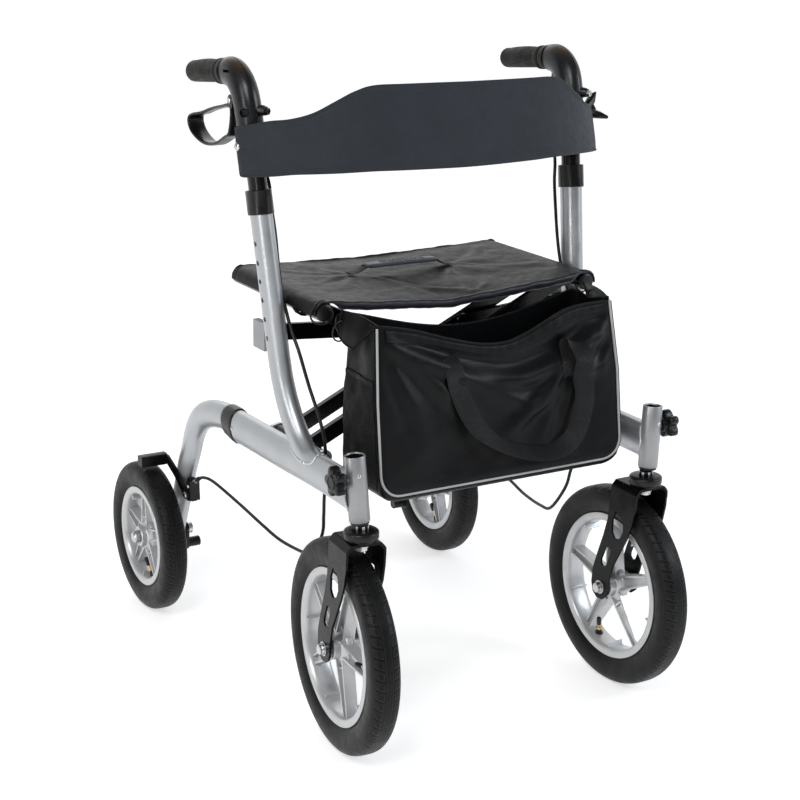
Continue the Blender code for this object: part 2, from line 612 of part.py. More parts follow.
# fork of the caster, standing about its own swivel axis (x = y = 0)
def fork_leg():
    out = [(-17.0, 318.5), (41.0, 318.5), (43.5, 290.0), (46.5, 264.0), (55.0, 236.0), (67.0, 204.0),
           (76.5, 176.0), (78.0, 154.0), (73.5, 140.0), (64.0, 133.0), (51.0, 133.5), (41.5, 141.0),
           (37.5, 152.0), (38.0, 165.0), (29.0, 195.0), (14.0, 222.0), (0.0, 247.0), (-10.0, 270.0),
           (-15.5, 294.0)]
    return prism(out, "x", FORK_IN, FORK_IN + FORK_T)


def mirror_body(b):
    return Body([(-x, y, z) for x, y, z in b.v], [tuple(reversed(f)) for f in b.f])


def slot(y0, z0, y1, z1, r):
    return prism(capsule(y0, z0, y1, z1, r, 4), "x", -40.0, 40.0)


crown = prism([(-29.2, 317.0), (-28.0, 320.4), (-23.0, 326.4), (-20.5, 327.4), (20.5, 327.4), (23.0, 326.4),
               (28.0, 320.4), (29.2, 317.0), (29.1, 308.0), (26.1, 308.0), (25.8, 316.6), (21.0, 322.6),
               (19.0, 323.6), (-19.0, 323.6), (-21.0, 322.6), (-25.8, 316.6), (-26.1, 308.0), (-29.1, 308.0)],
              "y", -17.0, 41.0)
leg_l = fork_leg()
fork_me = combine("caster_fork", crown, [
    ("+", leg_l),
    ("+", mirror_body(leg_l)),
    ("+", lathe((0, 0, 0), (0, 0, 1), [(324.0, 17.0), (329.0, 19.0), (330.0, 22.6), (340.5, 23.0), (342.5, 21.0),
                                       (343.5, 9.5), (350.0, 9.5), (351.0, 8.5), (354.5, 7.0),
                                       (394.0, 7.0)], 14)),
    ("-", prism([(10.0, 270.0), (15.0, 282.0), (28.0, 282.0), (35.5, 267.0), (35.5, 247.0), (28.5, 239.0),
                 (16.5, 242.0), (9.0, 256.0)], "x", -40.0, 40.0)),
    ("-", slot(42.0, 215.0, 51.0, 194.0, 7.0)),
    ("-", cyl((-40.0, TRAIL, FRONT_R), (40.0, TRAIL, FRONT_R), 5.95, n=16)),
])
for side, sx in (("left", 1.0), ("right", -1.0)):
    yaw = CASTER_YAW[side]
    c = (sx * CASTER_X, CASTER_Y, 0.0)
    place("caster_fork_" + side, copy_of(fork_me), (c[0], c[1], 0.0), "fork_black", yaw, local=True)
    wx = c[0] - TRAIL * sin(radians(yaw))
    wy = c[1] + TRAIL * cos(radians(yaw))
    place("front_tyre_" + side, copy_of(front_tyre_me), (wx, wy, FRONT_R), "tyre_black", yaw, local=True)
    place("front_rim_" + side, copy_of(front_rim_me), (wx, wy, FRONT_R), "rim_silver", yaw, local=True)
    place("front_axle_" + side, copy_of(front_axle_me), (wx, wy, FRONT_R), "steel", yaw, local=True)
    place("rear_tyre_" + side, copy_of(rear_tyre_me), (sx * REAR_X, REAR_Y, REAR_Z), "tyre_black", 0.0, local=True)
    place("rear_rim_" + side, copy_of(rear_rim_me), (sx * REAR_X, REAR_Y, REAR_Z), "rim_silver", 0.0, local=True)
bpy.data.meshes.remove(fork_me)

rear_axle_me = mesh_of("rear_axle", lathe((0, REAR_Y, REAR_Z), (1, 0, 0), [
    (201.0, 7.5), (202.0, 9.5), (209.2, 9.5), (209.2, 5.9), (245.0, 5.9), (245.0, 9.5), (257.3, 9.5),
    (257.3, 5.9), (296.4, 5.9), (296.4, 10.5), (303.0, 10.0), (306.0, 7.0)], 12))
pair("rear_axle", rear_axle_me, (REAR_X, REAR_Y, REAR_Z), "steel")

# star knob on the outer side of the caster housing
star = []
for k in range(24):
    q = 2 * pi * k / 24
    r = 18.2 + 3.3 * cos(6 * q)
    star.append((KNOB_Y + 3.0 + r * cos(q), KNOB_Z + r * sin(q)))
star_me = combine("star_knob", prism(star, "x", 267.0, 280.0), [
    ("+", lathe((260.0, KNOB_Y + 3.0, KNOB_Z), (1, 0, 0), [(0.0, 8.0), (8.0, 10.0)], 16)),
    ("+", cyl((238.0, KNOB_Y + 3.0, KNOB_Z), (262.0, KNOB_Y + 3.0, KNOB_Z), 4.0, n=12)),
    ("+", lathe((279.0, KNOB_Y + 3.0, KNOB_Z), (1, 0, 0), [(0.0, 11.0), (3.0, 9.5)], 16)),
])
pair("star_knob", star_me, (273.0, KNOB_Y + 3.0, KNOB_Z), "black_plastic")


# ---------------------------------------------------------------- folding cross and seat
HALF = hypot(PIVOT_X, (RAIL_Z - PIVOT_Z) / 2.0)
THETA = atan2((RAIL_Z - PIVOT_Z) / 2.0, PIVOT_X)
CX, CZ = 0.0, (RAIL_Z + PIVOT_Z) / 2.0


def cross_bar(y0):
    """Bar of brace A from the right lower pivot to the left rail, with its half-round saddle."""
    c, s = cos(THETA), sin(THETA)
    e = (c, s)
    n = (-s, c)
    L = 2 * HALF
    poly = [(-PIVOT_X + e[0] * u + n[0] * v, PIVOT_Z + e[1] * u + n[1] * v)
            for u, v in ((2.0, -BAR_H / 2), (L - 4.0, -BAR_H / 2), (L - 4.0, BAR_H / 2), (2.0, BAR_H / 2))]
    return prism(poly, "y", y0, y0 + BAR_T)


def brace(name, starts):
    """Hinge tube, two bars and their saddles; built as brace A."""
    t = lathe_ring((-PIVOT_X, 0, PIVOT_Z), (0, 1, 0), [(-192.0, 9.0), (-58.0, 9.0), (-58.0, 4.9), (-192.0, 4.9)], 16)
    steps = []
    for y0 in starts:
        steps.append(("+", cross_bar(y0)))
        steps.append(("+", prism(disc(RAIL_X, RAIL_Z, 16.6, 16), "y", y0, y0 + BAR_T)))
    steps.append(("-", cyl((RAIL_X, -200.0, RAIL_Z), (RAIL_X, -20.0, RAIL_Z), RAIL_R + 0.7, n=16)))
    steps.append(("-", box(RAIL_X - 40.0, RAIL_X + 40.0, -200.0, -20.0, RAIL_Z - 1.0, RAIL_Z + 40.0)))
    steps.append(("-", cyl((-PIVOT_X, -200.0, PIVOT_Z), (-PIVOT_X, -20.0, PIVOT_Z), 4.9, n=16)))
    steps.append(("-", cyl((CX, -200.0, CZ), (CX, -20.0, CZ), 5.0, n=16)))
    return combine(name, t, steps)


brace_a = brace("cross_brace_a", BARS_A)
place("cross_brace_a", brace_a, (-PIVOT_X, -130.0, PIVOT_Z), "black_tube")
brace_b = mirrored(brace("cross_brace_b", BARS_B), "cross_brace_b")
place("cross_brace_b", brace_b, (PIVOT_X, -130.0, PIVOT_Z), "black_tube")
place("cross_bolt", mesh_of("bolt", lathe((CX, 0, CZ), (0, 1, 0), [
    (-156.0, 5.0), (-155.0, 8.0), (-150.5, 8.0), (-150.5, 4.6), (-65.0, 4.6), (-65.0, 8.0), (-60.0, 8.0),
    (-59.0, 5.0)], 14)), (CX, -107.0, CZ), "steel")

rail = lathe_ring((RAIL_X, 0, RAIL_Z), (0, 1, 0), [(RAIL_Y0, RAIL_R), (RAIL_Y1, RAIL_R),
                                                  (RAIL_Y1, RAIL_R - 2.0), (RAIL_Y0, RAIL_R - 2.0)], 16)
pair("seat_rail", mesh_of("rail", rail), (RAIL_X, RAIL_Y0, RAIL_Z), "black_tube")

# bracket behind the upright with the pin of the link, and the link
ux, uz = LINK_U
qx, qz = PIVOT_X * LINK_F, CZ + (RAIL_Z - CZ) * LINK_F


def bracket_and_link(side):
    """Left-hand geometry; the ear is behind the link on the left and in front of it on the right."""
    if side == "left":
        ear_y, link_y, head = (-84.2, -77.0), (-93.5, -84.5), (-98.0, -93.2)
        pin = (-95.2, -82.0)
    else:
        ear_y, link_y, head = (-72.0, -65.3), (-65.0, -56.0), (-56.3, -51.4)
        pin = (-68.0, -54.4)
    xo = PLANE_X + LEAN * (uz - PLANE_Z)
    plate = prism([(xo - 1.8, 530.0), (xo + 8.0, 530.0), (xo + 8.0, 570.0), (xo - 1.8, 570.0)], "y", -95.4, -60.0)
    ear_p = prism([(ux - 8.0, uz - 9.0), (ux, uz - 12.0), (xo, uz - 14.0), (xo, uz + 14.0), (ux, uz + 12.0),
                   (ux - 8.0, uz + 9.0), (ux - 12.0, uz)], "y", ear_y[0], ear_y[1])
    bracket = combine("link_bracket", plate, [
        ("+", ear_p),
        ("+", cyl((ux, pin[0], uz), (ux, pin[1], uz), 4.0, n=12)),
    ])
    link = combine("fold_link", prism(capsule(ux, uz, qx, qz, LINK_H / 2, 6), "y", link_y[0], link_y[1]), [
        ("+", cyl((qx, head[0], qz), (qx, head[1], qz), 7.5, n=12)),
        ("-", cyl((ux, link_y[0] - 5, uz), (ux, link_y[1] + 5, uz), 4.4, n=12)),
    ])
    return bracket, link


bl, ll = bracket_and_link("left")
place("link_bracket_left", bl, (ux, -90.0, uz), "grey_plastic")
place("fold_link_left", ll, (ux, -89.0, uz), "black_tube")
br, lr = bracket_and_link("right")
place("link_bracket_right", mirrored(br, "b"), (-ux, -60.5, uz), "grey_plastic")
place("fold_link_right", mirrored(lr, "l"), (-ux, -60.5, uz), "black_tube")

# sling of the seat: flat between the rails and turned down outside them
seat_poly = [(-229.8, 603.0), (-229.8, 615.9), (0.0, 615.9), (229.8, 615.9), (229.8, 603.0), (232.2, 603.0),
             (232.2, 617.5), (230.0, 619.6), (0.0, 619.6), (-230.0, 619.6), (-232.2, 617.5), (-232.2, 603.0)]
# a stitched seam just in front of the pull grip parts the sitting area from the grip's own strip
seat_me = combine("seat", prism(seat_poly, "y", -198.0, 66.0), [
    ("-", box(-240.0, 240.0, -61.5, -60.0, 619.1, 625.0)),
])
place("seat_fabric", seat_me, (0.0, -66.0, SEAT_Z), "seat_cloth")

# pull grip on the middle of the seat
GY, GX = -45.0, -10.0
pull = [(GX - 82.0, 621.4), (GX - 66.0, 621.4), (GX - 58.0, 626.0), (GX + 58.0, 626.0), (GX + 66.0, 621.4),
        (GX + 82.0, 621.4), (GX + 82.0, 619.9), (GX - 82.0, 619.9)]
pull = [(GX - 82.0, 619.9), (GX - 70.0, 619.9), (GX - 57.0, 625.0), (GX + 57.0, 625.0), (GX + 70.0, 619.9),
        (GX + 82.0, 619.9), (GX + 82.0, 621.6), (GX + 71.0, 622.0), (GX + 58.0, 631.0), (GX - 58.0, 631.0),
        (GX - 71.0, 622.0), (GX - 82.0, 621.6)]
place("seat_pull_handle", mesh_of("pull", prism(pull, "y", GY - 10.0, GY + 10.0)), (GX, GY, 620.0), "grey_plastic")


# bag under the front of the seat: open at the top, its front edge sags
def bag_loop(z, hx, yf, yr, sag, inset):
    """Rounded rectangle, x half width hx, from yf to yr; sag drops the middle of the front."""
    hx -= inset
    yf += inset
    yr -= inset
    c = 14.0
    pts = [(-hx, yr, z), (-hx, yf + c, z), (-hx + c, yf, z), (-hx * 0.45, yf, z - sag * 0.7), (0.0, yf, z - sag),
           (hx * 0.45, yf, z - sag * 0.7), (hx - c, yf, z), (hx, yf + c, z), (hx, yr, z),
           (hx * 0.5, yr, z - sag * 0.45), (0.0, yr, z - sag * 0.6), (-hx * 0.5, yr, z - sag * 0.45)]
    return pts


T = 4.0
bag_o = [bag_loop(364.0, 178.0, -318.0, -214.0, 0.0, 0.0), bag_loop(384.0, 198.0, -324.0, -210.0, 0.0, 0.0),
         bag_loop(500.0, 197.0, -309.0, -209.0, 0.0, 0.0), bag_loop(598.0, 190.0, -292.0, -209.0, 43.0, 0.0)]
bag_i = [bag_loop(368.0, 178.0, -318.0, -214.0, 0.0, T), bag_loop(386.0, 198.0, -324.0, -210.0, 0.0, T),
         bag_loop(500.0, 197.0, -309.0, -209.0, 0.0, T), bag_loop(598.0, 190.0, -292.0, -209.0, 43.0, T)]
bag_body = rings(bag_o + bag_i[::-1])
tab = Body([(187.0, -246.0, 560.0), (192.0, -246.0, 560.0), (192.0, -212.0, 560.0), (187.0, -212.0, 560.0),
            (206.0, -214.0, 598.0), (217.0, -214.0, 590.0), (217.0, -198.6, 592.0), (206.0, -198.6, 600.0)],
           [(3, 2, 1, 0), (4, 5, 6, 7), (0, 1, 5, 4), (1, 2, 6, 5), (2, 3, 7, 6), (3, 0, 4, 7)])
bag_me = combine("bag", bag_body, [("+", tab), ("+", mirror_body(tab))])
place("bag", bag_me, (0.0, -212.0, 592.0), "bag_cloth")

# back strap between the handles
BACK = [(295.0, -84.0, 845.0, 776.0), (291.5, -99.0, 846.5, 778.0), (281.0, -113.0, 849.0, 780.0),
        (262.0, -130.0, 854.0, 782.5), (240.0, -148.0, 858.5, 785.5), (215.0, -166.0, 869.0, 787.5),
        (190.0, -181.5, 884.0, 789.5), (165.0, -193.0, 899.0, 790.5), (140.0, -201.5, 904.0, 791.5),
        (97.0, -209.0, 905.0, 791.0), (0.0, -213.0, 905.0, 789.5)]
BACK = BACK + [(-x, y, a, b) for x, y, a, b in BACK[-2::-1]]
loops = []
for i, (x, y, a, b) in enumerate(BACK):
    p0 = np.array(BACK[max(i - 1, 0)][:2])
    p1 = np.array(BACK[min(i + 1, len(BACK) - 1)][:2])
    d = (p1 - p0) / np.linalg.norm(p1 - p0)
    nx, ny = -d[1] * 3.5, d[0] * 3.5
    k = 0.165 if abs(x) > 250.0 else 0.075 + 0.09 * abs(x) / 250.0     # leans back with the uprights
    da, db = k * (a - 812.0), k * (b - 812.0)
    loops.append([(x + nx, y + ny + db, b), (x - nx, y - ny + db, b),
                  (x - nx, y - ny + da, a), (x + nx, y + ny + da, a)])
place("backrest", mesh_of("back", rings(loops)), (0.0, -213.0, 840.0), "back_cloth")


# ---------------------------------------------------------------- brake cables
ROUTE = [(250.0, -35.0, 845.0), (246.5, -52.0, 806.0), (240.0, -74.0, 766.0), (238.0, -78.0, 733.0),
         (236.0, -86.0, 696.0), (235.5, -95.0, 650.0), (235.6, -106.0, 612.0), (235.6, -119.0, 590.0),
         (235.0, -133.0, 566.0), (233.0, -152.0, 540.0), (228.0, -171.0, 497.0), (224.0, -190.0, 462.0),
         (222.0, -204.0, 432.0), (220.5, -209.0, 392.0), (216.0, -195.0, 338.0), (212.5, -187.0, 308.0),
         (210.0, -178.0, 277.0), (208.0, -146.0, 235.0), (210.0, -115.0, 228.0), (217.0, -59.0, 228.0),
         (222.0, -8.0, 236.0), (226.0, 64.0, 247.0), (233.0, 140.0, 259.0), (237.0, 172.0, 258.0),
         (239.3, 196.6, 247.0)]


def smooth(pts, per):
    """Even Catmull-Rom samples through the route."""
    p = [np.array(q, float) for q in pts]
    p = [2 * p[0] - p[1]] + p + [2 * p[-1] - p[-2]]
    out = []
    for i in range(1, len(p) - 2):
        for k in range(per):
            t = k / per
            out.append(0.5 * ((2 * p[i]) + (p[i + 1] - p[i - 1]) * t
                              + (2 * p[i - 1] - 5 * p[i] + 4 * p[i + 1] - p[i + 2]) * t * t
                              + (3 * p[i] - p[i - 1] - 3 * p[i + 1] + p[i + 2]) * t ** 3))
    out.append(p[-2])
    return out


def even(pts, count):
    """The same line through count points at equal spacing."""
    run = [0.0]
    for a, b in zip(pts, pts[1:]):
        run.append(run[-1] + float(np.linalg.norm(b - a)))
    out = []
    for i in range(count):
        t = run[-1] * i / (count - 1)
        out.append(np.array([np.interp(t, run, [q[c] for q in pts]) for c in range(3)]))
    return out


def cable(name, sx):
    cu = bpy.data.curves.new(name, "CURVE")
    cu.dimensions = "3D"
    cu.bevel_depth = CABLE_R * S
    cu.bevel_resolution = 2
    cu.render_resolution_u = 0
    cu.use_fill_caps = True
    pts = even(smooth(ROUTE, 8), 34)
    sp = cu.splines.new("POLY")
    sp.points.add(len(pts) - 1)
    for i, q in enumerate(pts):
        sp.points[i].co = (sx * q[0] * S, (q[1]) * S, q[2] * S, 1.0)
    cu.materials.append(MATS["cable_black"])
    ob = bpy.data.objects.new(name, cu)
    bpy.context.scene.collection.objects.link(ob)
    return ob


cable("brake_cable_left", 1.0)
cable("brake_cable_right", -1.0)
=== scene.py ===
import bpy
import bmesh
import numpy as np
from math import sin, cos, tan, pi, radians, degrees, atan2, hypot, sqrt, exp
from mathutils import Vector, Matrix
from mathutils.bvhtree import BVHTree


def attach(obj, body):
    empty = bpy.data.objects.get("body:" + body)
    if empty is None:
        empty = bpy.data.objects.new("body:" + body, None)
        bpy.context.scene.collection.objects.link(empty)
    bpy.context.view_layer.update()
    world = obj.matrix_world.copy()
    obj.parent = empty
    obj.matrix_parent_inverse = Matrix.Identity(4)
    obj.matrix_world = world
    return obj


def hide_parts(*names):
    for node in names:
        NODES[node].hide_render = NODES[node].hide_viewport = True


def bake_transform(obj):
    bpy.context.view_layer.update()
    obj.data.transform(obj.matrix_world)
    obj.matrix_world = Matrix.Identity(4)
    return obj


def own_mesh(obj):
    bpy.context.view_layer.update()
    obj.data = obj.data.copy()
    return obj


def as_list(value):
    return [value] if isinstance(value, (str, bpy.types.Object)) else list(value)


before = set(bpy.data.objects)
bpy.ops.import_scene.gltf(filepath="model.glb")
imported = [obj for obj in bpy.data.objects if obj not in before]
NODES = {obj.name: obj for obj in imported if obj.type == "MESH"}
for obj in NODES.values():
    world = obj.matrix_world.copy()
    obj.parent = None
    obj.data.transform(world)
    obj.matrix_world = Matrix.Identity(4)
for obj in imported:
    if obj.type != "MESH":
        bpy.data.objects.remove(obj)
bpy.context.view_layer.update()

S = 0.001

# ================================================================ camera and light
CAM_AT = Vector((-1.2796, -2.2103, 1.1594))
AZ, ELV, ROLL = radians(-30.43), radians(16.58), radians(0.87)
back = Vector((sin(AZ) * cos(ELV), -cos(AZ) * cos(ELV), sin(ELV)))
right = (-back).cross(Vector((0, 0, 1))).normalized()
up = right.cross(-back)
cam_x = right * cos(ROLL) + up * sin(ROLL)
cam_y = -right * sin(ROLL) + up * cos(ROLL)
cam_data = bpy.data.cameras.new("camera")
cam_data.lens = 77.94
cam_data.sensor_width = 36.0
cam_data.clip_start = 0.05
cam_data.clip_end = 60.0
camera = bpy.data.objects.new("camera", cam_data)
bpy.context.scene.collection.objects.link(camera)
rot = Matrix((cam_x, cam_y, back)).transposed()
camera.matrix_world = Matrix.Translation(CAM_AT) @ rot.to_4x4()
bpy.context.scene.camera = camera


def area(name, at, aim, size, watts, colour=(1, 1, 1), size_y=None):
    d = bpy.data.lights.new(name, "AREA")
    d.energy = watts
    d.color = colour
    d.size = size
    if size_y:
        d.shape = "RECTANGLE"
        d.size_y = size_y
    o = bpy.data.objects.new(name, d)
    bpy.context.scene.collection.objects.link(o)
    o.location = at
    o.rotation_euler = (Vector(aim) - Vector(at)).to_track_quat("-Z", "Y").to_euler()
    return o


area("key", (-2.3, -2.1, 3.0), (0, 0, 0.45), 1.5, 66)
area("fill", (2.6, -2.2, 2.0), (0, 0, 0.5), 1.4, 52, (0.84, 0.92, 1.0))
area("rim", (0.6, 2.8, 2.3), (0, 0, 0.5), 2.0, 9)
area("strip", (-3.0, -0.6, 1.3), (0, 0, 0.62), 0.45, 22, size_y=2.0)

world = bpy.data.worlds.new("studio")
bpy.context.scene.world = world
world.use_nodes = True
wn = world.node_tree.nodes
wl = world.node_tree.links
bg = wn["Background"]
bg.inputs["Strength"].default_value = 0.26
wc = wn.new("ShaderNodeTexCoord")
wsep = wn.new("ShaderNodeSeparateXYZ")
wr = wn.new("ShaderNodeValToRGB")
wl.new(wc.outputs["Generated"], wsep.inputs[0])
wl.new(wsep.outputs["Z"], wr.inputs["Fac"])
wl.new(wr.outputs["Color"], bg.inputs["Color"])
wr.color_ramp.elements[0].position = 0.0
wr.color_ramp.elements[0].color = (0.55, 0.55, 0.56, 1)
wr.color_ramp.elements[1].position = 0.75
wr.color_ramp.elements[1].color = (1.0, 1.0, 1.0, 1)

bpy.context.scene.view_settings.view_transform = "Standard"
bpy.context.scene.view_settings.look = "None"
bpy.context.scene.view_settings.exposure = 0.0


# ================================================================ materials
MATS = {}


class Mat:
    """One Principled material with small helpers for its node tree."""

    def __init__(self, name, rgb, rough, metal=0.0, **kw):
        m = bpy.data.materials.new(name)
        m.use_nodes = True
        self.m = m
        self.t = m.node_tree
        self.b = self.t.nodes["Principled BSDF"]
        self.rgb = rgb
        self.rough = rough
        self.b.inputs["Base Color"].default_value = (*rgb, 1)
        self.b.inputs["Roughness"].default_value = rough
        self.b.inputs["Metallic"].default_value = metal
        for k, v in kw.items():
            self.b.inputs[k].default_value = v
        m.diffuse_color = (*rgb, 1)
        MATS[name] = m
        self._co = None
        self.height = None

    def node(self, kind, **kw):
        n = self.t.nodes.new(kind)
        for k, v in kw.items():
            setattr(n, k, v)
        return n

    def link(self, a, b):
        self.t.links.new(a, b)

    def coords(self):
        if self._co is None:
            self._co = self.node("ShaderNodeTexCoord").outputs["Object"]
        return self._co

    def attr(self, name="wv"):
        return self.node("ShaderNodeAttribute", attribute_name=name).outputs["Vector"]

    def noise(self, scale, detail=3.0, rough=0.5, vec=None, stretch=None):
        n = self.node("ShaderNodeTexNoise")
        n.inputs["Scale"].default_value = scale
        n.inputs["Detail"].default_value = detail
        n.inputs["Roughness"].default_value = rough
        v = vec if vec is not None else self.coords()
        if stretch:
            mp = self.node("ShaderNodeMapping")
            mp.inputs["Scale"].default_value = stretch
            self.link(v, mp.inputs["Vector"])
            v = mp.outputs["Vector"]
        self.link(v, n.inputs["Vector"])
        return n.outputs["Fac"]

    def math(self, op, a, b=None, c=None, clamp=False):
        n = self.node("ShaderNodeMath", operation=op, use_clamp=clamp)
        for i, x in enumerate((a, b, c)):
            if x is None:
                continue
            if isinstance(x, (int, float)):
                n.inputs[i].default_value = x
            else:
                self.link(x, n.inputs[i])
        return n.outputs[0]

    def span(self, x, lo, hi, out_lo=0.0, out_hi=1.0):
        n = self.node("ShaderNodeMapRange")
        self.link(x, n.inputs["Value"])
        n.inputs["From Min"].default_value = lo
        n.inputs["From Max"].default_value = hi
        n.inputs["To Min"].default_value = out_lo
        n.inputs["To Max"].default_value = out_hi
        return n.outputs["Result"]

    def mix(self, fac, a, b):
        n = self.node("ShaderNodeMix", data_type="RGBA")
        self.link(fac, n.inputs["Factor"])
        for i, x in ((6, a), (7, b)):
            if isinstance(x, tuple):
                n.inputs[i].default_value = (*x, 1)
            else:
                self.link(x, n.inputs[i])
        return n.outputs[2]

    def colour(self, sock):
        self.link(sock, self.b.inputs["Base Color"])

    def roughness(self, sock):
        self.link(sock, self.b.inputs["Roughness"])

    def bump(self, sock, dist, strength=1.0):
        n = self.node("ShaderNodeBump")
        n.inputs["Distance"].default_value = dist
        n.inputs["Strength"].default_value = strength
        self.link(sock, n.inputs["Height"])
        if self.height is not None:
            self.link(self.height, n.inputs["Normal"])
        self.height = n.outputs["Normal"]
        self.link(self.height, self.b.inputs["Normal"])

    def vary(self, amount=0.06, scale=14.0, detail=4.0):
        """Slow change of the base colour; gives the colour socket back."""
        f = self.span(self.noise(scale, detail), 0.3, 0.7)
        a = tuple(c * (1 - amount) for c in self.rgb)
        b = tuple(min(1.0, c * (1 + amount)) for c in self.rgb)
        return self.mix(f, a, b)


def metal_paint(name, rgb, rough=0.34, metal=0.75, coat=0.25):
    k = Mat(name, rgb, rough, metal, **{"Coat Weight": coat, "Coat Roughness": 0.12})
    flake = k.noise(5200.0, 1.0)
    col = k.vary(0.05, 9.0)
    fl = k.span(flake, 0.35, 0.75)
    lighter = tuple(min(1.0, c * 1.16) for c in rgb)
    n = k.node("ShaderNodeMix", data_type="RGBA")
    k.link(k.math("MULTIPLY", fl, 0.35), n.inputs["Factor"])
    k.link(col, n.inputs[6])
    n.inputs[7].default_value = (*lighter, 1)
    k.colour(n.outputs[2])
    k.roughness(k.span(k.noise(38.0, 5.0), 0.3, 0.7, rough - 0.05, rough + 0.07))
    k.bump(flake, 0.00002, 0.5)
    k.bump(k.noise(160.0, 2.0), 0.00004, 0.35)
    return k.m


def plastic(name, rgb, rough=0.42, grain=900.0, depth=0.00005, coat=0.0, vary=0.12, scuffs=True, metal=0.0, spec=0.5):
    k = Mat(name, rgb, rough, metal, **{"Coat Weight": coat, "Coat Roughness": 0.08, "Specular IOR Level": spec})
    k.colour(k.vary(vary, 16.0))
    r = k.noise(55.0, 5.0)
    if scuffs:
        fine = k.noise(210.0, 3.0, 0.6, stretch=(1.0, 1.0, 0.15))
        r = k.math("MAXIMUM", r, k.math("MULTIPLY", k.span(fine, 0.62, 0.8), 0.9))
    k.roughness(k.span(r, 0.3, 0.8, rough - 0.06, rough + 0.14))
    k.bump(k.noise(grain, 2.0), depth, 0.5)
    return k.m


metal_paint("silver_paint", (0.405, 0.42, 0.435))
metal_paint("housing_paint", (0.30, 0.305, 0.31), 0.40, 0.7, 0.12)
plastic("gloss_black", (0.0030, 0.0030, 0.0034), 0.20, 300.0, 0.00003, coat=0.06, spec=0.22)
plastic("fork_paint", (0.0026, 0.0026, 0.0026), 0.22, 420.0, 0.00004, coat=0.04, spec=0.12)
plastic("moulded_black", (0.0045, 0.0045, 0.0050), 0.30, spec=0.32)
plastic("knob_black", (0.0035, 0.0035, 0.0036), 0.30, 700.0, spec=0.28)
plastic("holder_grey", (0.27, 0.275, 0.285), 0.5, 700.0, 0.00004, vary=0.05)
plastic("cable_jacket", (0.004, 0.004, 0.0042), 0.36, 1400.0, 0.00003, spec=0.35)
plastic("hole_dark", (0.004, 0.004, 0.004), 0.8, scuffs=False)

# casing of the handles: satin black, with a brown painted reflection on the upward-facing top of the bend
k = Mat("casing_black", (0.0050, 0.0056, 0.0072), 0.30, **{"Specular IOR Level": 0.40})
sep = k.node("ShaderNodeSeparateXYZ")
k.link(k.coords(), sep.inputs[0])
facing = k.node("ShaderNodeSeparateXYZ")
k.link(k.node("ShaderNodeNewGeometry").outputs["Normal"], facing.inputs[0])
# painted reflection: brown mixed into the colour where the top of the bend faces up
painted_top_sheen = k.math("MULTIPLY", k.span(sep.outputs["Z"], 0.908, 0.930), k.span(facing.outputs["Z"], 0.40, 0.95))
painted_top_sheen = k.math("MULTIPLY", painted_top_sheen, k.span(sep.outputs["Y"], -0.012, -0.026))
k.colour(k.mix(k.math("MULTIPLY", painted_top_sheen, k.span(k.noise(40.0, 4.0), 0.3, 0.7, 0.6, 1.0)), k.vary(0.1, 20.0), (0.075, 0.046, 0.018)))
k.roughness(k.span(k.noise(60.0, 5.0), 0.3, 0.75, 0.25, 0.38))
k.bump(k.noise(1500.0, 2.0), 0.00004, 0.45)

# grip rubber: fine dots
k = Mat("grip_rubber", (0.0130, 0.0118, 0.0105), 0.50, **{"Specular IOR Level": 0.22})
w = k.attr()
dots = k.node("ShaderNodeTexVoronoi")
dots.inputs["Scale"].default_value = 620.0
k.link(w, dots.inputs["Vector"])
k.colour(k.vary(0.16, 30.0))
k.roughness(k.span(k.noise(80.0, 4.0), 0.3, 0.7, 0.5, 0.7))
k.bump(dots.outputs["Distance"], 0.00018, 0.45)

# steel and brass
for nm, rgb, ro in (("zinc_steel", (0.56, 0.56, 0.57), 0.26), ("brass", (0.72, 0.50, 0.20), 0.24)):
    k = Mat(nm, rgb, ro, 1.0)
    k.colour(k.vary(0.12, 120.0))
    k.roughness(k.span(k.noise(340.0, 4.0), 0.3, 0.7, ro - 0.06, ro + 0.14))
    k.bump(k.noise(900.0, 3.0), 0.00003, 0.4)

# rims: bright silver lacquer over moulded ribs
k = Mat("rim_lacquer", (0.50, 0.505, 0.51), 0.34, 0.62, **{"Coat Weight": 0.2, "Coat Roughness": 0.15})
k.colour(k.vary(0.06, 26.0))
k.roughness(k.span(k.noise(70.0, 4.0), 0.3, 0.7, 0.28, 0.44))
k.bump(k.noise(1400.0, 2.0), 0.00003, 0.4)

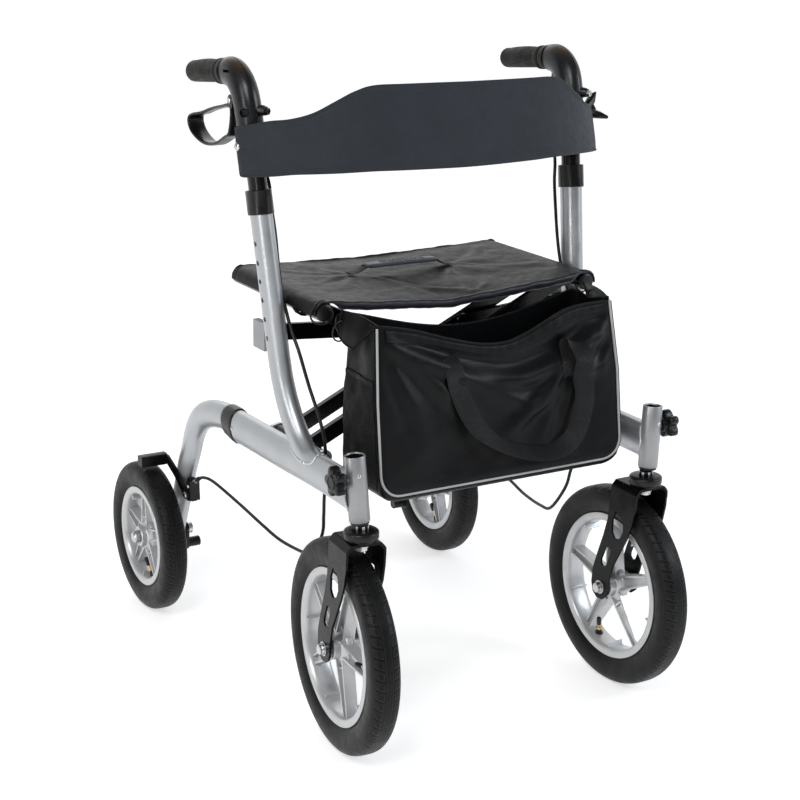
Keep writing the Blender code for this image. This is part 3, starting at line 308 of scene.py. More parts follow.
# tyre rubber, wv = (length round the tread, place across it), both in metres
TREADS = {}
for nm, radius in (("tyre_front", 152.0), ("tyre_rear", 123.2)):
    k = Mat(nm, (0.0042, 0.0042, 0.0045), 0.40, **{"Specular IOR Level": 0.20})
    sp = k.node("ShaderNodeSeparateXYZ")
    k.link(k.attr(), sp.inputs[0])
    s, t = sp.outputs["X"], sp.outputs["Y"]
    at = k.math("ABSOLUTE", t)
    n_blocks = 64 if radius > 140 else 52
    pitch = 2 * pi * radius * S / n_blocks
    # transverse cuts in the shoulders, leaning with the way across
    lean = k.math("MULTIPLY", at, 0.42)
    ph = k.math("FRACT", k.math("DIVIDE", k.math("ADD", s, lean), pitch))
    cut = k.span(k.math("ABSOLUTE", k.math("SUBTRACT", ph, 0.5)), 0.085, 0.150, 1.0, 0.0)
    zone = k.math("MULTIPLY", k.span(at, 0.0062, 0.0070), k.span(at, 0.0185, 0.0200, 1.0, 0.0))
    cut = k.math("MULTIPLY", cut, zone)
    # paler bands beside the cuts: painted highlight where the block edges catch the light
    edge = k.math("MULTIPLY", k.span(k.math("ABSOLUTE", k.math("SUBTRACT", ph, 0.5)), 0.165, 0.225, 1.0, 0.0), zone)
    edge = k.math("SUBTRACT", edge, cut, clamp=True)
    # a short cut along the tread in the middle of each block
    dash_on = k.span(k.math("ABSOLUTE", k.math("SUBTRACT", k.math("FRACT", k.math("ADD", ph, 0.5)), 0.5)), 0.22, 0.27, 1.0, 0.0)
    dash = k.math("MULTIPLY", dash_on, k.span(k.math("ABSOLUTE", k.math("SUBTRACT", at, 0.0122)), 0.0005, 0.0010, 1.0, 0.0))
    # twin grooves round the crown with a broken line between them
    g1 = k.span(k.math("ABSOLUTE", k.math("SUBTRACT", at, 0.0062)), 0.0007, 0.0013, 1.0, 0.0)
    g2 = k.span(k.math("ABSOLUTE", k.math("SUBTRACT", at, 0.0022)), 0.0003, 0.0007, 1.0, 0.0)
    ph2 = k.math("FRACT", k.math("DIVIDE", s, pitch * 0.75))
    g2 = k.math("MULTIPLY", g2, k.span(k.math("ABSOLUTE", k.math("SUBTRACT", ph2, 0.5)), 0.36, 0.40, 1.0, 0.0))
    grooves = k.math("MAXIMUM", k.math("MAXIMUM", cut, dash), k.math("MAXIMUM", g1, g2), clamp=True)
    # two fine moulded lines and a row of dots low on the side wall
    l1 = k.span(k.math("ABSOLUTE", k.math("SUBTRACT", at, 0.0262)), 0.0003, 0.0007, 1.0, 0.0)
    l2 = k.span(k.math("ABSOLUTE", k.math("SUBTRACT", at, 0.0445)), 0.0003, 0.0007, 1.0, 0.0)
    dots = k.math("FRACT", k.math("DIVIDE", s, 0.0052))
    l3 = k.math("MULTIPLY", k.span(k.math("ABSOLUTE", k.math("SUBTRACT", at, 0.0475)), 0.0004, 0.0009, 1.0, 0.0),
                k.span(k.math("ABSOLUTE", k.math("SUBTRACT", dots, 0.5)), 0.16, 0.24, 1.0, 0.0))
    raised = k.math("MAXIMUM", l1, k.math("MAXIMUM", l2, l3), clamp=True)
    # road dust sits on the tread only
    dust = k.math("MULTIPLY", k.span(k.noise(42.0, 5.0, 0.62), 0.45, 0.8), k.span(at, 0.030, 0.018))
    base = k.mix(k.math("MULTIPLY", dust, 0.25), k.vary(0.18, 34.0), (0.018, 0.0175, 0.016))
    # paler band beside the crown groove, mixed in below with the bands beside the cuts: painted highlight on the groove
    # edges
    ring = k.math("SUBTRACT", k.span(k.math("ABSOLUTE", k.math("SUBTRACT", at, 0.0062)), 0.0014, 0.0022, 1.0, 0.0), g1, clamp=True)
    base = k.mix(k.math("MULTIPLY", k.math("MAXIMUM", edge, ring), 0.62), base, (0.030, 0.030, 0.031))
    # cuts and grooves painted near-black: painted shade in the recesses
    k.colour(k.mix(grooves, base, (0.0006, 0.0006, 0.0006)))
    k.roughness(k.span(k.noise(60.0, 4.0), 0.3, 0.7, 0.36, 0.54))
    k.bump(k.noise(900.0, 3.0), 0.00012, 0.4)
    k.bump(raised, 0.0005, 0.8)
    k.bump(k.math("SUBTRACT", 1.0, grooves), 0.0022, 1.0)


def cloth(name, rgb, rough, pitch, depth, sheen, kind="plain", sheen_tint=None, thread=0.14, spec=0.5, vary=0.10):
    """Woven cloth; wv = (across, along, depth) in metres on the cut piece."""
    k = Mat(name, rgb, rough, 0.0, **{"Sheen Weight": sheen, "Sheen Roughness": 0.4, "Specular IOR Level": spec})
    if sheen_tint:
        k.b.inputs["Sheen Tint"].default_value = (*sheen_tint, 1)
    sp = k.node("ShaderNodeSeparateXYZ")
    k.link(k.attr(), sp.inputs[0])
    u = k.math("MULTIPLY", sp.outputs["X"], 2 * pi / pitch)
    v = k.math("MULTIPLY", sp.outputs["Y"], 2 * pi / pitch)
    if kind == "plain":
        h = k.math("MULTIPLY", k.math("SINE", u), k.math("SINE", v))
    elif kind == "twill":
        h = k.math("ADD", k.math("SINE", k.math("ADD", u, v)), k.math("MULTIPLY", k.math("SINE", k.math("MULTIPLY", v, 2.0)), 0.4))
    elif kind == "rib":
        h = k.math("ADD", k.math("SINE", v), k.math("MULTIPLY", k.math("SINE", k.math("MULTIPLY", u, 0.7)), 0.35))
    else:
        h = k.math("MULTIPLY", k.math("SINE", k.math("ADD", u, v)), k.math("SINE", k.math("SUBTRACT", u, v)))
    h01 = k.span(h, -1.0, 1.0)
    dark = tuple(c * (1 - thread * 2.2) for c in rgb)
    light = tuple(min(1.0, c * (1 + thread)) for c in rgb)
    woven = k.mix(h01, dark, light)
    slow = k.span(k.noise(18.0, 4.0), 0.3, 0.7)
    mul = k.node("ShaderNodeMix", data_type="RGBA", blend_type="MULTIPLY")
    mul.inputs["Factor"].default_value = 1.0
    k.link(woven, mul.inputs[6])
    k.link(k.mix(slow, (1 - vary,) * 3, (1 + vary,) * 3), mul.inputs[7])
    k.colour(mul.outputs[2])
    k.roughness(k.span(k.noise(90.0, 3.0), 0.3, 0.7, rough - 0.05, rough + 0.08))
    k.bump(k.noise(260.0, 3.0), 0.0001, 0.35)
    k.bump(h01, depth, 0.6)
    k.height01 = h01
    return k


cloth("seat_nylon", (0.0090, 0.0086, 0.0088), 0.40, 0.0011, 0.00007, 0.0, sheen_tint=(0.9, 0.88, 0.95), spec=0.12)
# seat_hem has a bluer base than the seat cloth: painted blue-purple sheen on the rolled hems
cloth("seat_hem", (0.0100, 0.0098, 0.0150), 0.36, 0.0011, 0.00007, 0.06, sheen_tint=(0.7, 0.72, 1.0), spec=0.34)
cloth("bag_polyester", (0.0028, 0.0030, 0.0035), 0.37, 0.0009, 0.00007, 0.0, sheen_tint=(0.8, 0.85, 1.0), spec=0.155)
cloth("bag_inside", (0.003, 0.003, 0.0033), 0.7, 0.0009, 0.00005, 0.02, spec=0.2)
cloth("bag_binding", (0.0032, 0.0034, 0.0038), 0.46, 0.0014, 0.0001, 0.0, "rib", spec=0.14)
cloth("back_cover", (0.0215, 0.0250, 0.0315), 0.64, 0.0010, 0.00006, 0.05, sheen_tint=(0.75, 0.85, 1.0), spec=0.20, thread=0.10)
cloth("webbing", (0.0062, 0.0062, 0.0066), 0.46, 0.0034, 0.0009, 0.0, "twill", thread=0.44, spec=0.22)
cloth("strap_black", (0.0075, 0.0075, 0.0075), 0.6, 0.0020, 0.00022, 0.06, "twill", thread=0.25, spec=0.3)
k = cloth("mesh_pocket", (0.0040, 0.0040, 0.0040), 0.5, 0.0058, 0.0009, 0.0, "diamond", thread=0.45, spec=0.12)
plastic("piping_grey", (0.34, 0.345, 0.35), 0.38, 2200.0, 0.00004, vary=0.06)
plastic("grip_slate", (0.060, 0.068, 0.086), 0.40, 900.0, 0.00004, spec=0.35)
plastic("thread", (0.030, 0.032, 0.036), 0.6, 3000.0, 0.00003)
# lighter than the frame paint: painted highlight along the weld beads
plastic("weld_silver", (0.58, 0.60, 0.62), 0.32, 600.0, 0.00005, metal=0.7)

# floor
k = Mat("studio_floor", (0.72, 0.72, 0.725), 0.7)
k.colour(k.vary(0.012, 1.3))
k.bump(k.noise(60.0, 3.0), 0.0002, 0.2)
k.b.inputs["Emission Color"].default_value = (1.0, 1.0, 1.0, 1.0)
k.b.inputs["Emission Strength"].default_value = 0.56


# ================================================================ mesh helpers (mm)
class Body:
    def __init__(self, v, f, w=None):
        self.v = [tuple(float(c) for c in p) for p in v]
        self.f = [tuple(q) for q in f]
        self.w = w          # optional per-vertex cloth coordinates (m)

    def __add__(self, o):
        n = len(self.v)
        w = None
        if self.w is not None or o.w is not None:
            w = (self.w or [(0, 0, 0)] * n) + (o.w or [(0, 0, 0)] * len(o.v))
        return Body(self.v + o.v, self.f + [tuple(i + n for i in q) for q in o.f], w)

    def mirror(self):
        return Body([(-x, y, z) for x, y, z in self.v], [tuple(reversed(q)) for q in self.f], self.w)

    def moved(self, m):
        return Body([tuple(m @ Vector(p)) for p in self.v], self.f, self.w)


def skin(loops, closed=False, caps=True, ring=True, wv=None):
    """Skin rows of equal loops."""
    n, m = len(loops[0]), len(loops)
    v = [tuple(p) for lp in loops for p in lp]
    f = []
    for i in range(m if closed else m - 1):
        j = (i + 1) % m
        for k in range(n if ring else n - 1):
            l = (k + 1) % n
            f.append((i * n + k, i * n + l, j * n + l, j * n + k))
    if caps and not closed:
        f.append(tuple(reversed(range(n))))
        f.append(tuple((m - 1) * n + k for k in range(n)))
    return Body(v, f, wv)


def unit(v):
    v = np.array(v, float)
    return v / np.linalg.norm(v)


def axes(d):
    d = unit(d)
    ref = np.array([0, 0, 1.0]) if abs(d[2]) < 0.9 else np.array([0, 1.0, 0])
    u = unit(np.cross(ref, d))
    return d, u, np.cross(d, u)


def turned(p0, d, prof, n=32, turn=0.0, closed=False):
    p0 = np.array(p0, float)
    d, u, w = axes(d)
    loops = [[p0 + s * d + r * (cos(2 * pi * k / n + turn) * u + sin(2 * pi * k / n + turn) * w) for k in range(n)]
             for s, r in prof]
    return skin(loops, closed=closed)


def cyl(p0, p1, r, n=24):
    p0, p1 = np.array(p0, float), np.array(p1, float)
    return turned(p0, p1 - p0, [(0, r), (float(np.linalg.norm(p1 - p0)), r)], n)


def prism(poly, axis, lo, hi):
    def put(a, b, c):
        return {"x": (c, a, b), "y": (a, c, b), "z": (a, b, c)}[axis]
    n = len(poly)
    v = [put(a, b, lo) for a, b in poly] + [put(a, b, hi) for a, b in poly]
    f = [tuple(range(n)), tuple(reversed(range(n, 2 * n)))]
    f += [(k, k + n, (k + 1) % n + n, (k + 1) % n) for k in range(n)]
    return Body(v, f)


def box(x0, x1, y0, y1, z0, z1):
    return prism([(x0, y0), (x1, y0), (x1, y1), (x0, y1)], "z", z0, z1)


def catmull(pts, per, closed=False):
    """Smooth curve through the points."""
    p = [np.array(q, float) for q in pts]
    if closed:
        p = [p[-1]] + p + [p[0], p[1]]
    else:
        p = [2 * p[0] - p[1]] + p + [2 * p[-1] - p[-2]]
    out = []
    for i in range(1, len(p) - 2):
        for k in range(per):
            t = k / per
            out.append(0.5 * ((2 * p[i]) + (p[i + 1] - p[i - 1]) * t + (2 * p[i - 1] - 5 * p[i] + 4 * p[i + 1] - p[i + 2]) * t * t
                              + (3 * p[i] - p[i - 1] - 3 * p[i + 1] + p[i + 2]) * t ** 3))
    if not closed:
        out.append(p[-2])
    return out


def even(pts, count, closed=False):
    q = [np.array(p, float) for p in pts]
    if closed:
        q = q + [q[0]]
    run = [0.0]
    for a, b in zip(q, q[1:]):
        run.append(run[-1] + float(np.linalg.norm(b - a)))
    arr = np.array(q)
    m = count if closed else count - 1
    ts = [run[-1] * i / m for i in range(count)]
    return [np.array([np.interp(t, run, arr[:, c]) for c in range(arr.shape[1])]) for t in ts]


def length(pts):
    return float(sum(np.linalg.norm(np.array(b) - np.array(a)) for a, b in zip(pts, pts[1:])))


def finish_mesh(name, body, angle=35.0):
    me = bpy.data.meshes.new(name)
    me.from_pydata([(x * S, y * S, z * S) for x, y, z in body.v], [], body.f)
    if body.w is not None:
        at = me.attributes.new("wv", "FLOAT_VECTOR", "POINT")
        at.data.foreach_set("vector", np.array(body.w, dtype=np.float32).reshape(-1))
    bm = bmesh.new()
    bm.from_mesh(me)
    bmesh.ops.recalc_face_normals(bm, faces=bm.faces)
    lim = radians(angle)
    for f in bm.faces:
        f.smooth = True
    for e in bm.edges:
        e.smooth = not (len(e.link_faces) == 2 and e.calc_face_angle(0.0) > lim)
    bm.to_mesh(me)
    bm.free()
    return me


def put(name, body, mat, on, bevel=0.0, angle=35.0, replaces=(), slot=None, segs=2, sub=0, weighted=True):
    """A new piece from a body in millimetres; it rides on the CAD body called on."""
    me = body if isinstance(body, bpy.types.Mesh) else finish_mesh(name, body, angle)
    ob = bpy.data.objects.new(name, me)
    bpy.context.scene.collection.objects.link(ob)
    me.materials.clear()
    me.materials.append(MATS[mat])
    if bevel:
        md = ob.modifiers.new("edge", "BEVEL")
        md.width = bevel * S
        md.segments = segs
        md.limit_method = "ANGLE"
        md.angle_limit = radians(angle)
        md.harden_normals = True
        md.miter_outer = "MITER_ARC"
    if sub:
        md = ob.modifiers.new("fine", "SUBSURF")
        md.levels = sub
        md.render_levels = sub
    if on:
        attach(ob, on)
    if replaces:
        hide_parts(*replaces)
    return ob


def put_pair(base, body, mat, on, **kw):
    """Left piece and its mirror image on the right; {} in on and replaces becomes the side."""
    out = {}
    rep = kw.pop("replaces", ())
    for side, b in (("left", body), ("right", body.mirror())):
        out[side] = put(base + "_" + side, b, mat, on.format(side), replaces=[r.format(side) for r in rep], **kw)
    return out


def boolean(body, cutter, op="DIFFERENCE"):
    """Mesh of body cut by cutter, both in millimetres."""
    a = bpy.data.objects.new("tmp_a", finish_mesh("tmp_a", body))
    b = bpy.data.objects.new("tmp_b", finish_mesh("tmp_b", cutter))
    for o in (a, b):
        bpy.context.scene.collection.objects.link(o)
    md = a.modifiers.new("cut", "BOOLEAN")
    md.operation = op
    md.solver = "EXACT"
    md.use_self = True
    md.object = b
    bpy.context.view_layer.update()
    dg = bpy.context.evaluated_depsgraph_get()
    ev = a.evaluated_get(dg).to_mesh()
    out = Body([tuple(v.co / S) for v in ev.vertices], [tuple(p.vertices) for p in ev.polygons])
    a.evaluated_get(dg).to_mesh_clear()
    for o in (a, b):
        me = o.data
        bpy.data.objects.remove(o, do_unlink=True)
        bpy.data.meshes.remove(me)
    return out


# carried CAD nodes: welded, smooth by angle, with a small round on their edges
def smooth_group():
    g = bpy.data.node_groups.new("smooth_by_angle", "GeometryNodeTree")
    g.interface.new_socket("Geometry", in_out="INPUT", socket_type="NodeSocketGeometry")
    g.interface.new_socket("Geometry", in_out="OUTPUT", socket_type="NodeSocketGeometry")
    n, l = g.nodes, g.links
    gi, go = n.new("NodeGroupInput"), n.new("NodeGroupOutput")
    rm = n.new("GeometryNodeRemoveAttribute")
    rm.inputs["Name"].default_value = "custom_normal"
    mg = n.new("GeometryNodeMergeByDistance")
    mg.inputs["Distance"].default_value = 0.00002
    s1 = n.new("GeometryNodeSetShadeSmooth")
    s1.domain = "FACE"
    s2 = n.new("GeometryNodeSetShadeSmooth")
    s2.domain = "EDGE"
    s2.inputs["Shade Smooth"].default_value = False
    ea = n.new("GeometryNodeInputMeshEdgeAngle")
    cmp = n.new("FunctionNodeCompare")
    cmp.data_type = "FLOAT"
    cmp.operation = "GREATER_THAN"
    cmp.inputs[1].default_value = radians(34.0)
    l.new(gi.outputs[0], rm.inputs["Geometry"])
    l.new(rm.outputs["Geometry"], mg.inputs["Geometry"])
    l.new(mg.outputs["Geometry"], s1.inputs["Geometry"])
    l.new(s1.outputs["Geometry"], s2.inputs["Geometry"])
    l.new(ea.outputs["Unsigned Angle"], cmp.inputs[0])
    l.new(cmp.outputs["Result"], s2.inputs["Selection"])
    l.new(s2.outputs["Geometry"], go.inputs[0])
    return g


SMOOTH = smooth_group()


def dress(node, mat, bevel=0.4):
    ob = NODES[node]
    ob.material_slots[0].material = MATS[mat]
    md = ob.modifiers.new("smooth", "NODES")
    md.node_group = SMOOTH
    if bevel:
        md = ob.modifiers.new("edge", "BEVEL")
        md.width = bevel * S
        md.segments = 2
        md.limit_method = "ANGLE"
        md.angle_limit = radians(34.0)
        md.harden_normals = True
        md.use_clamp_overlap = True
    md = ob.modifiers.new("normals", "WEIGHTED_NORMAL")
    md.keep_sharp = True


# ================================================================ frame geometry of the CAD
PLANE_X, PLANE_Z, LEAN = 231.0, 152.0, 0.05
N_SIDE = unit([1.0, 0.0, -LEAN])


def side_point(y, z, w=0.0):
    c = 1.0 / sqrt(1.0 + LEAN * LEAN)
    return np.array([PLANE_X + LEAN * (z - PLANE_Z) + w * c, y, z - w * LEAN * c])


def up_y(z):
    return -87.0 - 0.165 * (750.0 - z)


def frames(pts, normal=N_SIDE):
    pts = [np.array(p, float) for p in pts]
    out = []
    for i, p in enumerate(pts):
        d0 = pts[i] - pts[i - 1] if i else pts[1] - pts[0]
        d1 = pts[i + 1] - pts[i] if i + 1 < len(pts) else d0
        t = unit(unit(d0) + unit(d1))
        b = unit(np.cross(normal, t))
        out.append((p, b, t))
    return out


def oval(p, u, w, a, b, n):
    return [p + u * (a * cos(2 * pi * k / n)) + w * (b * sin(2 * pi * k / n)) for k in range(n)]


def lst(a, m):
    return list(a) if isinstance(a, (list, tuple, np.ndarray)) else [a] * m


def tube(pts, a, b, wall=None, n=40, normal=N_SIDE):
    """Oval tube along pts; hollow with open ends if wall is given."""
    fr = frames(pts, normal)
    al, bl = lst(a, len(pts)), lst(b, len(pts))
    outer = [oval(p, normal, w, x, y, n) for (p, w, t), x, y in zip(fr, al, bl)]
    if wall is None:
        return skin(outer)
    inner = [oval(p, normal, w, x - wall, y - wall, n) for (p, w, t), x, y in zip(fr, al, bl)]
    return skin(outer + inner[::-1], closed=True)


def resample(path, vals, count):
    """Even points along a smooth path with values interpolated by length."""
    m = len(path)
    rows = [list(p) + [v[i] for v in vals] for i, p in enumerate(path)]
    return even_by(catmull(rows, 10), 3, count)


def even_by(rows, dims, count):
    rows = [np.array(r, float) for r in rows]
    run = [0.0]
    for a, b in zip(rows, rows[1:]):
        run.append(run[-1] + float(np.linalg.norm(b[:dims] - a[:dims])))
    arr = np.array(rows)
    return np.array([[np.interp(run[-1] * i / (count - 1), run, arr[:, c]) for c in range(arr.shape[1])]
                     for i in range(count)])


def round_rod(pts, r, n=12, r_end=None):
    """Round rod along any path, by parallel transport."""
    pts = [np.array(p, float) for p in pts]
    rl = lst(r, len(pts))
    t0 = unit(pts[1] - pts[0])
    _, u, _ = axes(t0)
    loops = []
    for i, p in enumerate(pts):
        d0 = p - pts[i - 1] if i else pts[1] - pts[0]
        d1 = pts[i + 1] - p if i + 1 < len(pts) else d0
        t = unit(unit(d0) + unit(d1))
        u = unit(u - np.dot(u, t) * t)
        w = np.cross(t, u)
        loops.append([p + rl[i] * (cos(2 * pi * k / n) * u + sin(2 * pi * k / n) * w) for k in range(n)])
    return skin(loops)


def round_loop(pts, r, n=10):
    """Closed round ring along a closed path."""
    pts = [np.array(p, float) for p in pts]
    m = len(pts)
    c = sum(pts) / m
    nrm = np.zeros(3)
    for i in range(m):
        nrm += np.cross(pts[i] - c, pts[(i + 1) % m] - c)
    nrm = unit(nrm)
    loops = []
    for i in range(m):
        t = unit(pts[(i + 1) % m] - pts[i - 1])
        u = unit(np.cross(nrm, t))
        w = np.cross(t, u)
        loops.append([pts[i] + r * (cos(2 * pi * k / n) * u + sin(2 * pi * k / n) * w) for k in range(n)])
    return skin(loops, closed=True)


def strip(pts, normals, width, thick, edge=0.25, across=6, origin=0.0):
    """Flat strap along pts; normals point away from its face; has cloth coordinates."""
    pts = [np.array(p, float) for p in pts]
    loops, wv = [], []
    run = origin
    wl_ = lst(width, len(pts))
    for i, p in enumerate(pts):
        if i:
            run += float(np.linalg.norm(p - pts[i - 1]))
        d0 = p - pts[i - 1] if i else pts[1] - pts[0]
        d1 = pts[i + 1] - p if i + 1 < len(pts) else d0
        t = unit(unit(d0) + unit(d1))
        nn = np.array(normals[i] if isinstance(normals, list) else normals, float)
        nn = unit(nn - np.dot(nn, t) * t)
        s = np.cross(t, nn)
        half = wl_[i] / 2
        lp = []
        for k in range(across + 1):
            q = -1 + 2 * k / across
            lp.append((q * half, thick / 2 * (1 if abs(q) < 0.99 else edge)))
        for k in range(across, -1, -1):
            q = -1 + 2 * k / across
            lp.append((q * half, -thick / 2 * (1 if abs(q) < 0.99 else edge)))
        loops.append([p + s * a + nn * b for a, b in lp])
        wv += [(a * S, run * S, 0.0) for a, b in lp]
    return skin(loops, wv=wv)


# ================================================================ side frames
UP_PATH = [(up_y(752.0), 752.0), (up_y(700.0), 700.0), (up_y(650.0), 650.0), (up_y(600.0), 600.0), (up_y(552.0), 552.0),
           (-126.0, 520.0), (-132.0, 496.0), (-143.0, 470.0), (-158.0, 445.0), (-178.0, 421.0), (-205.0, 403.0),
           (-240.0, 397.0), (-270.0, 393.0)]
up_pts = resample([side_point(y, z) for y, z in UP_PATH], [], 74)
upright = tube([p[:3] for p in up_pts], 14.5, 20.0, 1.8, 48)
holes = None
HOLE_Z = (685.0, 659.0, 634.0, 608.5, 582.0, 556.0)
for hz in HOLE_Z:
    c = cyl(side_point(up_y(hz), hz, 6.0), side_point(up_y(hz), hz, 22.0), 3.5, 20)
    holes = c if holes is None else holes + c
upright = boolean(upright, holes)
put_pair("upright_tube", upright, "silver_paint", "{}_frame", replaces=["upright_{}"], slot="frame_silver", angle=40.0)

# pressed rim round each snap hole
for side, sx in (("left", 1), ("right", -1)):
    rims = None
    for hz in HOLE_Z:
        loop = []
        for k_ in range(28):
            q = 2 * pi * k_ / 28
            dy, dz = 3.75 * cos(q), 3.75 * sin(q)
            yy, zz = up_y(hz + dz) + dy, hz + dz
            w_ = 14.5 * sqrt(max(0.0, 1 - (dy / 20.0) ** 2)) - 0.05
            p = side_point(yy, zz, w_)
            loop.append((sx * p[0], p[1], p[2]))
        r_ = round_loop(loop, 0.34, 8)
        rims = r_ if rims is None else rims + r_
    put("snap_hole_rims_" + side, rims, "silver_paint", side + "_frame", slot="frame_silver")

# long main tube, cut to sit against the caster housing
HL, HT = np.array([238.6, -338.0, 355.0]), np.array([245.0, -334.0, 446.0])


def housing_axis(z):
    k_ = (z - HL[2]) / (HT[2] - HL[2])
    return HL + k_ * (HT - HL)


MT_PATH = [(20.0, 385.0), (-50.0, 386.6), (-127.0, 388.3), (-180.0, 390.2), (-236.0, 391.7), (-290.0, 391.8), (-331.0, 391.3)]
mt = resample([side_point(y, z) for y, z in MT_PATH], [], 40)
fr = frames([p[:3] for p in mt])
outer = [oval(p, N_SIDE, w, 16.0, 26.0, 48) for p, w, t in fr]
inner = [oval(p, N_SIDE, w, 14.0, 24.0, 48) for p, w, t in fr]
for ring in (outer[-1], inner[-1]):
    for i, p in enumerate(ring):
        a = housing_axis(p[2])
        dx = p[0] - a[0]
        p[1] = max(-333.5, a[1] + sqrt(max(0.0, 14.5 ** 2 - dx * dx)))
main = skin(outer + inner[::-1], closed=True)
put_pair("main_tube_long", main, "silver_paint", "{}_frame", replaces=["main_tube_{}"], slot="frame_silver", angle=40.0)


def bracket(y0, y1):
    xm = PLANE_X + LEAN * (385.0 - PLANE_Z) - 16.0 + 1.2
    poly = [(xm, 370.0), (xm + 0.6, 406.0)]
    for q in range(100, 281, 15):
        poly.append((217.0 + 11.0 * cos(radians(q)), 398.0 + 11.0 * sin(radians(q))))
    return prism(poly, "y", y0, y1)


br = bracket(-200.4, -192.5) + bracket(-57.5, -49.6)
put_pair("hinge_bracket", br, "silver_paint", "{}_frame", bevel=1.2, slot="frame_silver")
pins = turned((217.0, 0, 398.0), (0, 1, 0), [(-204.2, 4.0), (-203.2, 6.4), (-200.6, 6.4), (-200.6, 4.4), (-180.0, 4.4)], 24) + \
    turned((217.0, 0, 398.0), (0, 1, 0), [(-70.0, 4.4), (-49.4, 4.4), (-49.4, 6.4), (-46.8, 6.4), (-45.8, 4.0)], 24)
put_pair("hinge_pin", pins, "zinc_steel", "{}_frame", slot="steel")


# weld where the upright lands on the main tube
def weld_line():
    """Points where the upright's skin dips into the main tube, round the upright."""
    mid = [p for p, w, t in fr]
    out = []
    ups = frames([p[:3] for p in up_pts])
    for j in range(0, 48):
        q = 2 * pi * j / 48
        prev = None
        for p, w, t in ups[30:]:
            v = p + N_SIDE * (14.5 * cos(q)) + w * (20.0 * sin(q))
            # nearest place on the main tube's line
            yy = min(max(v[1], -331.0), 20.0)
            zz = np.interp(-yy, [-m[1] for m in mid], [m[2] for m in mid])
            c = side_point(yy, zz)
            d = v - c
            a = float(np.dot(d, N_SIDE))
            b = float(np.linalg.norm(d - a * N_SIDE))
            g = (a / 16.0) ** 2 + (b / 26.0) ** 2 - 1.0
            if prev is not None and prev[0] > 0 >= g:
                k_ = prev[0] / (prev[0] - g)
                out.append(prev[1] + (v - prev[1]) * k_)
                break
            prev = (g, v)
    return out


seam = weld_line()
if len(seam) > 8:
    # drop the points far on the inner side, then smooth the rest into an even line
    m_ = sum(seam) / len(seam)
    outer_side = [p for p in seam if np.dot(p - side_point(p[1], p[2]), N_SIDE) > -30]
    dense = even(catmull(outer_side, 4, closed=False), 260)
    rad = [1.75 + 0.45 * sin(i * 1.9) + 0.25 * sin(i * 0.83) for i in range(len(dense))]
    put_pair("weld_upright", round_rod(dense, rad, 8), "weld_silver", "{}_frame", slot="frame_silver", angle=80.0)

# weld between main tube and caster housing
bead = []
for i, p in enumerate(outer[-1]):
    bead.append(np.array(p) + N_SIDE * (0.3 * np.sign(np.dot(np.array(p) - fr[-1][0], N_SIDE))))
bead = even(catmull(bead, 6, closed=True), 230)
put_pair("weld_housing", round_rod(bead + [bead[0]], [1.5 + 0.45 * sin(i * 1.7) + 0.2 * sin(i * 0.61) for i in range(231)], 8),
         "weld_silver", "{}_frame", slot="frame_silver", angle=80.0)

# caster housing: open on top, with its bush below
hd = HT - HL
hd = hd / np.linalg.norm(hd)
h0 = housing_axis(340.0)
shell = turned(h0, hd, [(15.1, 13.6), (15.7, 14.25), (105.4, 14.25), (106.0, 13.9), (106.0, 12.0), (105.4, 11.6),
                        (66.0, 11.6), (64.5, 10.0), (64.5, 0.5), (15.1, 0.5)], 56, closed=True)
put_pair("housing_shell", shell, "housing_paint", "{}_frame", replaces=["caster_housing_{}"], slot="housing_grey", angle=50.0)
# dark sleeve over the inner wall of the open bore: painted shade inside the housing
bore_shade = turned(h0, hd, [(85.2, 11.56), (104.4, 11.56), (104.4, 11.2), (85.2, 11.2)], 40, closed=True)
put_pair("housing_bore_shade", bore_shade, "moulded_black", "{}_frame", slot="black_plastic")
plug_in = turned(h0, hd, [(65.0, 11.55), (84.0, 11.55), (85.0, 10.6), (85.0, 8.2), (70.0, 8.2), (70.0, 0.2)], 40)
put_pair("housing_bush_top", plug_in, "moulded_black", "{}_frame", slot="black_plastic")


def screw_at(p, d, r=3.2, h=1.6, drive="cross"):
    """Pan head screw standing on a surface at p along d."""
    d, u, w = axes(d)
    p = np.array(p, float)
    b = turned(p - d * 0.6, d, [(0.0, r), (0.6 + h * 0.35, r), (0.6 + h * 0.8, r * 0.82), (0.6 + h, r * 0.45), (0.6 + h, 0.01)], 28)
    # dark square on the head: painted shade of the cross recess
    recess_shade = turned(p + d * (h - 0.02), d, [(0.0, r * 0.30), (0.12, r * 0.30)], 4, pi / 4)
    return b, recess_shade


def rivet_pair(base, pts, on, r=3.2, h=1.5, mat="zinc_steel"):
    for side, sx in (("left", 1), ("right", -1)):
        heads = None
        recess_shades = None
        for p, d in pts:
            b, recess_shade = screw_at((sx * p[0], p[1], p[2]), (sx * d[0], d[1], d[2]), r, h)
            heads = b if heads is None else heads + b
            recess_shades = recess_shade if recess_shades is None else recess_shades + recess_shade
        put(base + "_" + side, heads, mat, on.format(side), slot="steel", angle=50.0)
        # dark squares on the heads: painted shade of the drive recesses
        put(base + "_recess_" + side, recess_shades, "hole_dark", on.format(side), slot="steel")


# small screws: front of the housing and the main tube
def housing_face(z, q):
    a = housing_axis(z)
    d = np.array([sin(radians(q)), -cos(radians(q)), 0.0])
    return a + d * 14.1, d


rivet_pair("housing_screw", [housing_face(421.0, 12.0)], "{}_frame", 2.9, 1.3)
mid_z = 386.0
rivet_pair("sleeve_screw", [(side_point(17.0, mid_z, 16.0), N_SIDE)], "{}_frame", 3.2, 1.5)

